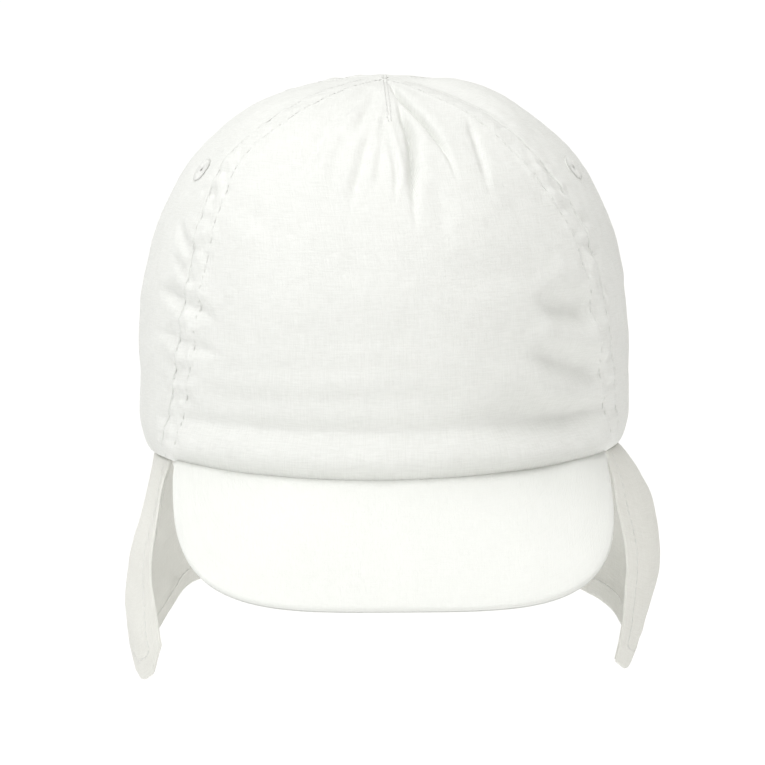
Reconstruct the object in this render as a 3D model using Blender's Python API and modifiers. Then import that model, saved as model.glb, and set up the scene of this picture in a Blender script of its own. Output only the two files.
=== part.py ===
"""A toddler's legionnaire cap in white cotton: a five-panel crown, a soft peak and a neck flap.

Metres, +Z up. The front faces -Y and the wearer's left is +X. The origin is the centre of the
head opening, in the plane of the crown's lower seam. An azimuth is counted from the front
towards the wearer's left, so 90 is the left side, 180 the back and -90 the right side.
"""

import math
from collections import namedtuple

import bmesh
import bpy
import numpy as np
from mathutils import Vector

# Head opening, measured along the crown's lower seam
RIM_HALF_WIDTH = 0.0713
RIM_FRONT = 0.0840
RIM_BACK = 0.0860
RIM_DIP = 0.0012
RIM_DIP_WAVES = 1.5
RIM_TILT = 0.0012

# Crown
CROWN_HEIGHT = 0.1123
RIM_TUCK = 0.0042
TUCK_HEIGHT = 0.0120
WALL_TOP = 0.0248
DOME_POWER = 2.46
APEX_RISE = 0.0013
APEX_RISE_RADIUS = 0.0090
APEX_OPENING = 0.0010
CLOTH = 0.0012
SEAM_GAP = 0.0003

# Folds gathered at the top of the front panel, and dents along its side seams
FOLD_DEPTH = 0.0022
FOLD_WIDTH = 0.0050

# Embroidered eyelets in the side panels
EYELET_RADIUS = 0.0038
EYELET_HOLE = 0.0017
EYELET_HEIGHT = 0.0009
EYELET_AZIMUTH = 66.0
EYELET_SHARE = 0.565

# Peak
PEAK_SPREAD = 61.5
PEAK_REACH = 0.0420
PEAK_DROP = 0.0325
PEAK_HALF_WIDTH = 0.0640
PEAK_SIDE = 0.0060
PEAK_SQUARENESS = 3.8
PEAK_DROP_POWER = 1.1
PEAK_CAMBER = 0.0025
PEAK_TOP_COVER = 0.0014
PEAK_UNDER_COVER = 0.0011

# Neck flap
FLAP_START = 67.5
FLAP_RUN = 360.0 - 2 * FLAP_START
FLAP_DROP = 0.0680
FLAP_FLARE = 0.0130
FLAP_CLOTH = 0.0012
HEM_WIDTH = 0.0070
HEM_CLOTH = 0.0020

# Grid counts: columns round the head and rows upwards. All crown panels have the same rows,
# so that the edges at a seam follow each other
CROWN_ROWS = 18
CROWN_ROW_CROWDING = 1.3
FRONT_COLUMNS = 36
FRONT_COLUMN_CROWDING = 1.35
SIDE_COLUMNS = 12
BACK_COLUMNS = 13
PEAK_GRID = (26, 7)
FLAP_GRID = (44, 9)
EYELET_SIDES = (20, 8)

# Steps of the curves that the cloth is laid on, and of the slopes read from them
TUCK_STEPS = 90
DOME_STEPS = 300
PEAK_EDGE_STEPS = 801
AZIMUTH_STEP = 0.5
SHARE_STEP = 0.004
PEAK_STEP = 0.01

COTTON = (0.90, 0.90, 0.87, 1.0)
COTTON_ROUGHNESS = 0.9
THREAD = (0.93, 0.93, 0.91, 1.0)
THREAD_ROUGHNESS = 0.6

# The azimuths of the two front seams at a share of the crown's length from rim to top
SeamStation = namedtuple("SeamStation", "share left right")
FRONT_SEAM = [
    SeamStation(0.00, 69.0, 65.0),
    SeamStation(0.08, 65.5, 61.5),
    SeamStation(0.20, 61.5, 57.5),
    SeamStation(0.34, 58.5, 55.5),
    SeamStation(0.48, 54.5, 55.5),
    SeamStation(0.60, 49.0, 56.5),
    SeamStation(0.70, 44.0, 51.0),
    SeamStation(0.82, 38.0, 44.0),
    SeamStation(1.00, 36.0, 40.0),
]
BACK_SEAM = [
    SeamStation(0.00, 114.0, 114.0),
    SeamStation(0.30, 112.0, 112.0),
    SeamStation(0.60, 110.0, 110.0),
    SeamStation(1.00, 106.0, 106.0),
]

# A crease across the crown. Azimuths are degrees, places and bow are shares of the crown's
# length from rim to top, depth and width are shares of FOLD_DEPTH and FOLD_WIDTH
Fold = namedtuple("Fold", "azimuth share end_azimuth end_share bow depth width")
FOLDS = [
    Fold(-3.0, 1.00, 0.0, 0.56, 0.000, 0.35, 0.6),
    Fold(3.0, 0.74, 4.0, 0.47, 0.000, 1.00, 0.9),
    Fold(2.0, 0.88, 17.0, 0.53, 0.010, 0.90, 1.0),
    Fold(24.0, 0.72, 24.0, 0.50, 0.000, 0.65, 1.1),
    Fold(-9.0, 0.86, -10.0, 0.52, 0.000, 0.50, 1.0),
    Fold(-4.0, 0.66, -7.0, 0.47, 0.000, 0.40, 0.9),
    Fold(-18.0, 0.84, -23.0, 0.60, 0.000, 0.35, 1.2),
    Fold(37.0, 0.99, 46.0, 0.60, 0.000, 1.30, 2.0),
    Fold(-41.0, 0.99, -52.0, 0.60, 0.000, 1.00, 2.0),
    Fold(70.0, 0.95, 110.0, 0.70, 0.000, -0.60, 3.6),
]

# The flap's hanging line at a share of its run from its left front edge round to its right one.
# Bulge and hem are shares of FLAP_FLARE standing out past the rim, bulge_at is the share of the
# drop where it bulges, and drop is a share of FLAP_DROP
FlapStation = namedtuple("FlapStation", "share bulge bulge_at hem drop")
FLAP_STATIONS = [
    FlapStation(0.000, 0.50, 0.48, 0.26, 0.95),
    FlapStation(0.033, 0.85, 0.45, 0.34, 1.01),
    FlapStation(0.073, 1.02, 0.43, 0.42, 1.01),
    FlapStation(0.109, 1.08, 0.43, 0.48, 0.98),
    FlapStation(0.162, 1.00, 0.46, 0.60, 0.91),
    FlapStation(0.256, 0.75, 0.60, 0.85, 0.82),
    FlapStation(0.367, 0.75, 0.70, 1.05, 0.81),
    FlapStation(0.500, 0.85, 0.75, 1.30, 0.83),
    FlapStation(0.633, 0.75, 0.70, 1.05, 0.80),
    FlapStation(0.744, 0.65, 0.60, 0.80, 0.85),
    FlapStation(0.838, 0.68, 0.60, 0.60, 0.97),
    FlapStation(0.891, 0.72, 0.62, 0.48, 0.98),
    FlapStation(0.927, 0.70, 0.60, 0.42, 1.01),
    FlapStation(0.971, 0.56, 0.53, 0.38, 1.00),
    FlapStation(1.000, 0.44, 0.48, 0.36, 0.92),
]


def clear_scene():
    """Removes the objects that the file opened with."""
    for found in list(bpy.data.objects):
        bpy.data.objects.remove(found)


def make_collection(name):
    """A collection under the scene's own."""
    made = bpy.data.collections.new(name)
    bpy.context.scene.collection.children.link(made)
    return made


def make_material(name, colour, roughness):
    """A plain cloth or thread finish."""
    material = bpy.data.materials.new(name)
    material.use_nodes = True
    shader = material.node_tree.nodes["Principled BSDF"]
    shader.inputs["Base Color"].default_value = colour
    shader.inputs["Roughness"].default_value = roughness
    shader.inputs["Metallic"].default_value = 0.0
    return material


def smooth_between(value, places, heights):
    """A smooth curve through a table's points, flat at neither end."""
    slopes = np.gradient(heights, places)
    cell = int(np.clip(np.searchsorted(places, value) - 1, 0, len(places) - 2))
    span = places[cell + 1] - places[cell]
    along = (value - places[cell]) / span
    rest = 1 - along
    return (
        heights[cell] * (1 + 2 * along) * rest**2
        + slopes[cell] * span * along * rest**2
        + heights[cell + 1] * (3 - 2 * along) * along**2
        - slopes[cell + 1] * span * along**2 * rest
    )


def station_value(stations, value, place, column):
    """One column of a table, read smoothly at a value of its place column."""
    places = [getattr(station, place) for station in stations]
    heights = [getattr(station, column) for station in stations]
    return smooth_between(value, np.array(places), np.array(heights))


def rim_length_at(azimuth):
    """The rim's reach from the origin along Y, on this azimuth's half."""
    return RIM_FRONT if math.cos(math.radians(azimuth)) > 0 else RIM_BACK


def rim_point(azimuth):
    """The crown's lower seam. It dips at the front and at the sides, less where the peak ends,
    and sits higher on the wearer's left."""
    turn = math.radians(azimuth)
    height = RIM_TILT * math.sin(turn) - RIM_DIP * math.cos(RIM_DIP_WAVES * turn) ** 2
    return Vector((RIM_HALF_WIDTH * math.sin(turn), -rim_length_at(azimuth) * math.cos(turn), height))


def outward(azimuth):
    """The level direction that points out of the rim."""
    turn = math.radians(azimuth)
    across = Vector((rim_length_at(azimuth) * math.sin(turn), -RIM_HALF_WIDTH * math.cos(turn), 0))
    return across.normalized()


def crown_profile():
    """Stand-out past the rim, scale towards the axis and height, at even steps of length."""
    quarter = np.linspace(0, math.pi / 2, TUCK_STEPS)
    opening = APEX_OPENING / (RIM_HALF_WIDTH + RIM_TUCK)
    dome = np.linspace(0, math.acos(opening ** (DOME_POWER / 2)), DOME_STEPS)
    stand_out = np.concatenate([RIM_TUCK * np.sin(quarter), np.full(len(dome), RIM_TUCK)])
    scale = np.concatenate([np.ones(len(quarter)), np.cos(dome) ** (2 / DOME_POWER)])
    dome_height = WALL_TOP + (CROWN_HEIGHT - WALL_TOP) * np.sin(dome) ** (2 / DOME_POWER)
    height = np.concatenate([TUCK_HEIGHT * (1 - np.cos(quarter)), dome_height])
    reach = (RIM_HALF_WIDTH + stand_out) * scale
    length = np.concatenate([[0], np.cumsum(np.hypot(np.diff(reach), np.diff(height)))])
    return length, stand_out, scale, height


PROFILE_LENGTH, PROFILE_OUT, PROFILE_SCALE, PROFILE_HEIGHT = crown_profile()
CROWN_LENGTH = PROFILE_LENGTH[-1]


def crown_base(azimuth, share):
    """The crown's outer face without its folds."""
    along = share * CROWN_LENGTH
    stand_out = float(np.interp(along, PROFILE_LENGTH, PROFILE_OUT))
    scale = float(np.interp(along, PROFILE_LENGTH, PROFILE_SCALE))
    height = float(np.interp(along, PROFILE_LENGTH, PROFILE_HEIGHT))
    rim = rim_point(azimuth)
    outline = (rim + outward(azimuth) * stand_out) * scale
    point = APEX_RISE * math.exp(-scale * RIM_HALF_WIDTH / APEX_RISE_RADIUS)
    dip = rim.z * (1 - height / CROWN_HEIGHT)
    return Vector((outline.x, outline.y, height + point + dip))


def face_normal(surface, across, along):
    """The direction out of a surface, from its two tangents."""
    low = max(0.0, along - SHARE_STEP)
    high = min(1.0, along + SHARE_STEP)
    side = surface(across + AZIMUTH_STEP, along) - surface(across - AZIMUTH_STEP, along)
    up = surface(across, high) - surface(across, low)
    return side.cross(up).normalized()


def fold_depth(fold, azimuth, share):
    """How deep one crease is at a place on the crown, in metres."""
    width = FOLD_WIDTH * fold.width
    radius = crown_base(azimuth, share).xy.length
    start = Vector((math.radians(fold.azimuth) * radius, fold.share * CROWN_LENGTH))
    end = Vector((math.radians(fold.end_azimuth) * radius, fold.end_share * CROWN_LENGTH))
    place = Vector((math.radians(azimuth) * radius, share * CROWN_LENGTH))
    run = end - start
    along = (place - start).dot(run) / run.length_squared
    bowed = fold.bow * CROWN_LENGTH * 4 * along * (1 - along)
    aside = (place - start).cross(run) / run.length - bowed
    taper = max(0.0, 4 * along * (1 - along)) ** 0.5
    return FOLD_DEPTH * fold.depth * taper * math.exp(-((aside / width) ** 2) * 2)


def crown_point(azimuth, share):
    """The crown's outer face with its folds pressed in."""
    depth = sum(fold_depth(fold, azimuth, share) for fold in FOLDS)
    return crown_base(azimuth, share) - face_normal(crown_base, azimuth, share) * depth


def gap_angle(share):
    """Half of the gap between two panels, in degrees, at a share of the crown's length."""
    radius = max(APEX_OPENING, crown_base(90.0, share).xy.length)
    return math.degrees(SEAM_GAP / 2 / radius)


def panel_point(first, last, across, share):
    """A point of a crown panel between two seams, each given as a function of share."""
    gap = gap_angle(share)
    start = first(share) + gap
    end = last(share) - gap
    return crown_point(start + (end - start) * across, share)


def even(count):
    """Shares from 0 to 1 in equal steps."""
    return [step / count for step in range(count + 1)]


def crown_rows():
    """The crown's rows, closest together at the rim, where the cloth turns under."""
    return [share**CROWN_ROW_CROWDING for share in even(CROWN_ROWS)]


def front_columns():
    """The front panel's columns, closest together in the middle, where the folds are."""
    sides = [2 * share - 1 for share in even(FRONT_COLUMNS)]
    return [(1 + math.copysign(abs(side) ** FRONT_COLUMN_CROWDING, side)) / 2 for side in sides]


def make_sheet(name, across, along, point, collection, material):
    """An open cloth sheet: a grid whose columns and rows are laid on a surface."""
    mesh = bpy.data.meshes.new(name)
    sheet = bmesh.new()
    columns, rows = len(across) - 1, len(along) - 1
    bmesh.ops.create_grid(sheet, x_segments=columns, y_segments=rows, size=1.0)
    for vertex in sheet.verts:
        column = round((vertex.co.x + 1) / 2 * columns)
        row = round((vertex.co.y + 1) / 2 * rows)
        vertex.co = point(across[column], along[row])
    sheet.to_mesh(mesh)
    sheet.free()
    made = bpy.data.objects.new(name, mesh)
    collection.objects.link(made)
    mesh.materials.append(material)
    mesh.shade_smooth()
    return made


def thicken(sheet, thickness, side=-1.0):
    """Gives a sheet its wall. Side is -1 for a wall inside the sheet and 1 for one outside."""
    wall = sheet.modifiers.new("wall", "SOLIDIFY")
    wall.thickness = thickness
    wall.offset = side
    wall.use_even_offset = True
    return wall


def make_panel(name, first, last, columns, collection, material):
    """One crown panel between two seams."""
    sheet = make_sheet(
        name,
        columns,
        crown_rows(),
        lambda across, share: panel_point(first, last, across, share),
        collection,
        material,
    )
    thicken(sheet, CLOTH)
    return sheet


def left_front_seam(share):
    """The azimuth of the seam between the front panel and the left side panel."""
    return station_value(FRONT_SEAM, share, "share", "left")


def right_front_seam(share):
    """The azimuth of the seam between the front panel and the right side panel."""
    return -station_value(FRONT_SEAM, share, "share", "right")


def left_back_seam(share):
    """The azimuth of the seam between the left side panel and the back."""
    return station_value(BACK_SEAM, share, "share", "left")


def right_back_seam(share):
    """The azimuth of the seam between the right side panel and the back."""
    return -station_value(BACK_SEAM, share, "share", "right")


def left_centre_back(share):
    """The azimuth of the centre back seam as the left back panel counts it, the same at every share."""
    return 180.0


def right_centre_back(share):
    """The same seam as the right back panel counts it, from the other side."""
    return -180.0


def eyelet_place(side):
    """An eyelet's centre on the crown's outer face and the direction out of it. Side is 1 or -1."""
    azimuth = EYELET_AZIMUTH * side
    return crown_point(azimuth, EYELET_SHARE), face_normal(crown_base, azimuth, EYELET_SHARE)


def cut_eyelet_hole(panel, side, cutters):
    """Cuts the hole that an eyelet is worked round."""
    centre, out = eyelet_place(side)
    bpy.ops.mesh.primitive_cylinder_add(vertices=EYELET_SIDES[0], radius=EYELET_HOLE, depth=CLOTH * 6)
    cutter = bpy.context.object
    cutter.name = panel.name + "_hole"
    cutter.location = centre
    cutter.rotation_mode = "QUATERNION"
    cutter.rotation_quaternion = out.to_track_quat("Z", "Y")
    move_to(cutter, cutters)
    cutter.hide_render = True
    cutter.display_type = "WIRE"
    cut = panel.modifiers.new("eyelet_hole", "BOOLEAN")
    cut.operation = "DIFFERENCE"
    cut.object = cutter


def move_to(made, collection):
    """Leaves an object in one collection only."""
    for found in list(made.users_collection):
        found.objects.unlink(made)
    collection.objects.link(made)


def make_eyelet(name, side, collection, material):
    """The worked ring round an eyelet's hole, lying on the panel."""
    centre, out = eyelet_place(side)
    ring_half = (EYELET_RADIUS - EYELET_HOLE) / 2
    bpy.ops.mesh.primitive_torus_add(
        major_radius=EYELET_HOLE + ring_half,
        minor_radius=ring_half,
        major_segments=EYELET_SIDES[0],
        minor_segments=EYELET_SIDES[1],
    )
    ring = bpy.context.object
    ring.name = name
    for vertex in ring.data.vertices:
        vertex.co.z *= EYELET_HEIGHT / 2 / ring_half
    ring.location = centre + out * (EYELET_HEIGHT / 2 + SEAM_GAP)
    ring.rotation_mode = "QUATERNION"
    ring.rotation_quaternion = out.to_track_quat("Z", "Y")
    move_to(ring, collection)
    ring.data.materials.append(material)
    ring.data.shade_smooth()


def peak_outline():
    """The peak's outer edge from its right end to its left, at even steps of length."""
    turn = np.linspace(-math.pi / 2, math.pi / 2, PEAK_EDGE_STEPS)
    forward = np.abs(np.cos(turn)) ** (2 / PEAK_SQUARENESS)
    sideways = np.sign(turn) * np.abs(np.sin(turn)) ** (2 / PEAK_SQUARENESS)
    seam_end = rim_point(PEAK_SPREAD).y
    side_end = seam_end - PEAK_SIDE
    front = -RIM_FRONT - PEAK_REACH
    x = PEAK_HALF_WIDTH * sideways
    y = side_end + (front - side_end) * forward
    z = -PEAK_DROP * forward**PEAK_DROP_POWER
    length = np.concatenate([[0], np.cumsum(np.hypot(np.diff(x), np.diff(y)))])
    return length / length[-1], x, y, z


PEAK_EDGE_SHARE, PEAK_EDGE_X, PEAK_EDGE_Y, PEAK_EDGE_Z = peak_outline()


def peak_base(across, up):
    """The plane between the peak's two covers: across from 0 at the right to 1 at the left,
    up from 0 at the outer edge to 1 at the crown's seam."""
    across = min(1.0, max(0.0, across))
    below_crown = SEAM_GAP * 1.5 + PEAK_TOP_COVER
    seam = rim_point((2 * across - 1) * PEAK_SPREAD) - Vector((0, 0, below_crown))
    edge = Vector(
        [float(np.interp(across, PEAK_EDGE_SHARE, line)) for line in (PEAK_EDGE_X, PEAK_EDGE_Y, PEAK_EDGE_Z)]
    )
    edge.z -= below_crown
    place = edge.lerp(seam, up)
    place.z += PEAK_CAMBER * 4 * up * (1 - up) * (seam.z - edge.z) / PEAK_DROP
    return place


def peak_normal(across, up):
    """The direction out of the peak's top."""
    side = peak_base(across + PEAK_STEP, up) - peak_base(across - PEAK_STEP, up)
    rise = peak_base(across, min(1, up + PEAK_STEP)) - peak_base(across, max(0, up - PEAK_STEP))
    return side.cross(rise).normalized()


def make_peak_cover(name, side, thickness, collection, material):
    """One of the peak's two covers. Side is 1 for the top cover and -1 for the one under it."""
    columns, rows = PEAK_GRID
    cover = make_sheet(
        name,
        even(columns),
        even(rows),
        lambda across, up: peak_base(across, up) + peak_normal(across, up) * side * SEAM_GAP / 2,
        collection,
        material,
    )
    thicken(cover, thickness, side)


def flap_value(along, column):
    """One column of the flap's table at a share of its run."""
    return station_value(FLAP_STATIONS, along, "share", column)


def flap_point(along, up):
    """The flap's outer face: up is 0 at the hem and 1 at the crown's seam."""
    down = 1 - up
    azimuth = FLAP_START + FLAP_RUN * along
    bulge = FLAP_FLARE * flap_value(along, "bulge")
    bulge_at = flap_value(along, "bulge_at")
    hem = FLAP_FLARE * flap_value(along, "hem")
    drop = FLAP_DROP * flap_value(along, "drop")
    hump = math.sin(math.pi * down ** (math.log(0.5) / math.log(bulge_at)))
    out = hem * down + (bulge - hem * bulge_at) * hump
    rim = rim_point(azimuth)
    place = rim + outward(azimuth) * out
    place.z = rim.z - SEAM_GAP - drop * down
    return place


def hem_rows(count, length):
    """Shares from 0 to 1 with a close pair of rows where a hem of HEM_WIDTH ends."""
    hem = HEM_WIDTH / length
    step = FLAP_CLOTH / 2 / length
    rest = [hem + step + (1 - hem - step) * share for share in even(count)]
    return [0.0, hem] + rest


def make_flap(collection, material):
    """The neck flap with its turned hem along the bottom and both front edges."""
    columns, rows = FLAP_GRID
    up_rows = hem_rows(rows, FLAP_DROP)
    rim_arc = math.radians(FLAP_RUN) * (RIM_HALF_WIDTH + RIM_BACK) / 2
    ends = hem_rows(1, rim_arc)[1:3]
    middle = [ends[1] + (1 - 2 * ends[1]) * share for share in even(columns)]
    across = [0.0, ends[0]] + middle + [1 - ends[0], 1.0]
    flap = make_sheet(
        "neck_flap",
        across,
        up_rows,
        flap_point,
        collection,
        material,
    )
    hem = flap.vertex_groups.new(name="hem")
    width = len(across)
    for vertex in flap.data.vertices:
        column, row = vertex.index % width, vertex.index // width
        if row < 2 or column < 2 or column > width - 3:
            hem.add([vertex.index], 1.0, "REPLACE")
        else:
            hem.add([vertex.index], 0.0, "REPLACE")
    wall = thicken(flap, HEM_CLOTH)
    wall.vertex_group = "hem"
    wall.thickness_vertex_group = FLAP_CLOTH / HEM_CLOTH


def main():
    clear_scene()
    cap = make_collection("legionnaire_cap")
    cutters = make_collection("cutters")
    cotton = make_material("white_cotton", COTTON, COTTON_ROUGHNESS)
    thread = make_material("white_thread", THREAD, THREAD_ROUGHNESS)
    make_panel("front_panel", right_front_seam, left_front_seam, front_columns(), cap, cotton)
    side_columns = even(SIDE_COLUMNS)
    left_side = make_panel("side_panel_left", left_front_seam, left_back_seam, side_columns, cap, cotton)
    right_side = make_panel("side_panel_right", right_back_seam, right_front_seam, side_columns, cap, cotton)
    back_columns = even(BACK_COLUMNS)
    make_panel("back_panel_left", left_back_seam, left_centre_back, back_columns, cap, cotton)
    make_panel("back_panel_right", right_centre_back, right_back_seam, back_columns, cap, cotton)
    cut_eyelet_hole(left_side, 1, cutters)
    cut_eyelet_hole(right_side, -1, cutters)
    make_eyelet("eyelet_left", 1, cap, thread)
    make_eyelet("eyelet_right", -1, cap, thread)
    make_peak_cover("peak_top_cover", 1.0, PEAK_TOP_COVER, cap, cotton)
    make_peak_cover("peak_under_cover", -1.0, PEAK_UNDER_COVER, cap, cotton)
    make_flap(cap, cotton)


if __name__ == "__main__":
    main()
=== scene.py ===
"""The looks of a toddler's legionnaire cap in white cotton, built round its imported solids.

Metres, +Z up. The front faces -Y and the wearer's left is +X. An azimuth is counted in degrees
from the front towards the wearer's left. A share is a place on the crown along its own length,
from 0 at the lower seam to 1 at the top.
"""

import logging
import math
from dataclasses import dataclass, field
from enum import Enum
from functools import cached_property
from typing import Callable, Iterable, Protocol, Sequence

import bmesh
import bpy
import numpy as np
from mathutils import Matrix, Vector
from numpy.typing import NDArray


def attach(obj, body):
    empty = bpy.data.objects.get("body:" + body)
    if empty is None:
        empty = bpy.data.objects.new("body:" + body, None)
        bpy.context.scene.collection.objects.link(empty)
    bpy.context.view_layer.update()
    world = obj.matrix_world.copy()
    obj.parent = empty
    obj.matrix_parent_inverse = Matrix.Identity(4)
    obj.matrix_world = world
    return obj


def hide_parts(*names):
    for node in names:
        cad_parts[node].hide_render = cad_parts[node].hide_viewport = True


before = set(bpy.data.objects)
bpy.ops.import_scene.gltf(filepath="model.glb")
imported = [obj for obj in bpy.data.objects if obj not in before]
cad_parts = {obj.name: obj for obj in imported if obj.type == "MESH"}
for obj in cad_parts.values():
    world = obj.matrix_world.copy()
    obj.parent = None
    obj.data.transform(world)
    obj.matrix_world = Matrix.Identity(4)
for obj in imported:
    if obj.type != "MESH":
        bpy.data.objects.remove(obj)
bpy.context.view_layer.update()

BODY = "root"
CLOTH_MAP = "cloth"
THREAD_MAP = "thread"
SEAM_ALLOWANCE = 0.006
log = logging.getLogger("legionnaire_cap")

Numbers = NDArray[np.float64]
Surface = Callable[[Numbers, Numbers], Numbers]


class Slot(Enum):
    """The record's material slots."""

    COTTON = "white_cotton"
    THREAD = "white_thread"


class Wall(Enum):
    """The side of a sheet on which its thickness lies, with its sign along the sheet's normal."""

    INWARD = -1.0
    OUTWARD = 1.0


class Side(Enum):
    """A side of the cap as its wearer counts it, with the sign of its azimuths."""

    LEFT = 1
    RIGHT = -1


def read_smoothly(values: Numbers, places: Numbers, heights: Numbers) -> Numbers:
    """Reads a smooth curve through a table's points.

    Args:
        values: where the curve is read.
        places: the table's places, rising.
        heights: the table's heights at those places.

    Returns:
        The curve's height at each value.
    """
    slopes = np.gradient(heights, places)
    cell = np.clip(np.searchsorted(places, values) - 1, 0, len(places) - 2)
    span = places[cell + 1] - places[cell]
    along = (values - places[cell]) / span
    rest = 1 - along
    return (
        heights[cell] * (1 + 2 * along) * rest**2
        + slopes[cell] * span * along * rest**2
        + heights[cell + 1] * (3 - 2 * along) * along**2
        - slopes[cell + 1] * span * along**2 * rest
    )


def read_column(table: Sequence[object], values: Numbers, place: str, column: str) -> Numbers:
    """Reads one column of a table of named rows.

    Args:
        table: the rows.
        values: where the column is read.
        place: the name of the column that holds the places.
        column: the name of the column that is read.

    Returns:
        The column's value at each place asked for.
    """
    places = np.array([getattr(row, place) for row in table])
    heights = np.array([getattr(row, column) for row in table])
    return read_smoothly(np.asarray(values, float), places, heights)


def unit(vectors: Numbers) -> Numbers:
    """Rows of vectors, each at length one."""
    return vectors / np.maximum(np.linalg.norm(vectors, axis=1, keepdims=True), 1e-12)


def bell(distance: Numbers, width: float, power: float = 2.0) -> Numbers:
    """A hump of height one at distance zero, gone at about one and a half widths.

    Args:
        distance: how far each place lies from the hump's middle.
        width: how far the hump reaches.
        power: 2 for a soft hump, less for a pointed one.

    Returns:
        The hump's height at each place.
    """
    return np.exp(-2 * (np.abs(distance) / width) ** power)


def ease(value: Numbers, low: float, high: float) -> Numbers:
    """A smooth step from 0 at low to 1 at high."""
    share = np.clip((value - low) / (high - low), 0, 1)
    return share * share * (3 - 2 * share)


# How far in from a rounded edge its first rows of faces lie, in metres
NOSE_STEPS = np.array([0.0, 0.00006, 0.00020, 0.00042, 0.00072])


def nose(distance: Numbers, half: float) -> Numbers:
    """The share of its thickness that a folded edge has, by the distance in from the fold."""
    short = np.clip(1 - distance / half, 0, 0.998)
    return np.sqrt(1 - short * short)


def steps_from_fold(length: float, step: float, both: bool = False) -> Numbers:
    """Steps across a sheet with a folded, rounded edge.

    Args:
        length: the sheet's real length.
        step: the real size of the steps away from the fold.
        both: whether the other end is folded too.

    Returns:
        Shares of the length from 0 to 1.
    """
    last = length - NOSE_STEPS[::-1] if both else np.array([length])
    middle = np.linspace(NOSE_STEPS[-1], last[0], round((last[0] - NOSE_STEPS[-1]) / step) + 1)
    return np.concatenate([NOSE_STEPS[:-1], middle, last[1:]]) / length


def crowded_steps(length: float, edge: float, fine: float, coarse: float) -> Numbers:
    """Steps across a sheet, close together at its two edges.

    Args:
        length: the sheet's real length.
        edge: how far in from each end the fine steps reach.
        fine: the real size of a fine step.
        coarse: the real size of the other steps.

    Returns:
        Shares of the length from 0 to 1.
    """
    edge_steps = round(edge / fine)
    middle_steps = round((length - 2 * edge) / coarse)
    first = np.linspace(0, edge, edge_steps, endpoint=False)
    middle = np.linspace(edge, length - edge, middle_steps, endpoint=False)
    last = np.linspace(length - edge, length, edge_steps + 1)
    return np.concatenate([first, middle, last]) / length


@dataclass(frozen=True)
class Ripple:
    """An uneven wave made of a few sines, the same on every run.

    Attributes:
        seed: picks the waves.
        height: how far the wave usually rises, in metres.
        shortest: the shortest wave length, in metres.
        longest: the longest wave length, in metres.
        count: how many sines are added.
    """

    seed: int
    height: float
    shortest: float
    longest: float
    count: int = 12

    def over(self, points: Numbers) -> Numbers:
        """The wave's height at each point in space or along a line.

        Args:
            points: one row for each place, with one or three columns.

        Returns:
            The height at each place, in metres.
        """
        draw = np.random.default_rng(self.seed)
        total = np.zeros(len(points))
        for _ in range(self.count):
            heading = unit(draw.normal(size=(1, points.shape[1])))[0]
            length = draw.uniform(self.shortest, self.longest)
            phase = draw.uniform(0, 2 * math.pi)
            total += np.sin(2 * math.pi * (points @ heading) / length + phase)
        return total * self.height / math.sqrt(self.count / 2)


@dataclass(frozen=True)
class Rim:
    """The crown's lower seam: an oval that dips at the front and at the sides.

    Attributes:
        half_width: half the oval's width, in metres.
        front: its reach in front of the middle.
        back: its reach behind the middle.
        dip: how far it dips.
        dip_waves: how many dips there are to half a turn.
        tilt: how much higher it stands at the wearer's left.
    """

    half_width: float = 0.0713
    front: float = 0.0840
    back: float = 0.0860
    dip: float = 0.0012
    dip_waves: float = 1.5
    tilt: float = 0.0012

    def reach(self, azimuth: Numbers) -> Numbers:
        """The oval's reach along Y on each azimuth's half."""
        return np.where(np.cos(np.radians(azimuth)) > 0, self.front, self.back)

    def point(self, azimuth: Numbers) -> Numbers:
        """Points of the seam.

        Args:
            azimuth: where round the rim they lie, in degrees.

        Returns:
            The points, one row each.
        """
        turn = np.radians(azimuth)
        height = self.tilt * np.sin(turn) - self.dip * np.cos(self.dip_waves * turn) ** 2
        across = self.half_width * np.sin(turn)
        return np.column_stack([across, -self.reach(azimuth) * np.cos(turn), height])

    def outward(self, azimuth: Numbers) -> Numbers:
        """Level directions that point out of the rim.

        Args:
            azimuth: where round the rim they start, in degrees.

        Returns:
            A unit vector for each azimuth.
        """
        turn = np.radians(azimuth)
        across = self.reach(azimuth) * np.sin(turn)
        ahead = -self.half_width * np.cos(turn)
        return unit(np.column_stack([across, ahead, np.zeros_like(turn)]))


def surface_normal(
    surface: Surface, first: Numbers, second: Numbers, steps: tuple[float, float]
) -> Numbers:
    """The direction out of a surface, from its two tangents.

    Args:
        surface: gives a row of coordinates for each pair of places.
        first: the places across the surface.
        second: the places up the surface.
        steps: how far to each side the tangents are taken, across and up.

    Returns:
        A unit vector for each pair of places.
    """
    low = np.maximum(second - steps[1], 0)
    high = np.minimum(second + steps[1], 1)
    side = surface(first + steps[0], second) - surface(first - steps[0], second)
    rise = surface(first, high) - surface(first, low)
    return unit(np.cross(side, rise))


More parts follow.
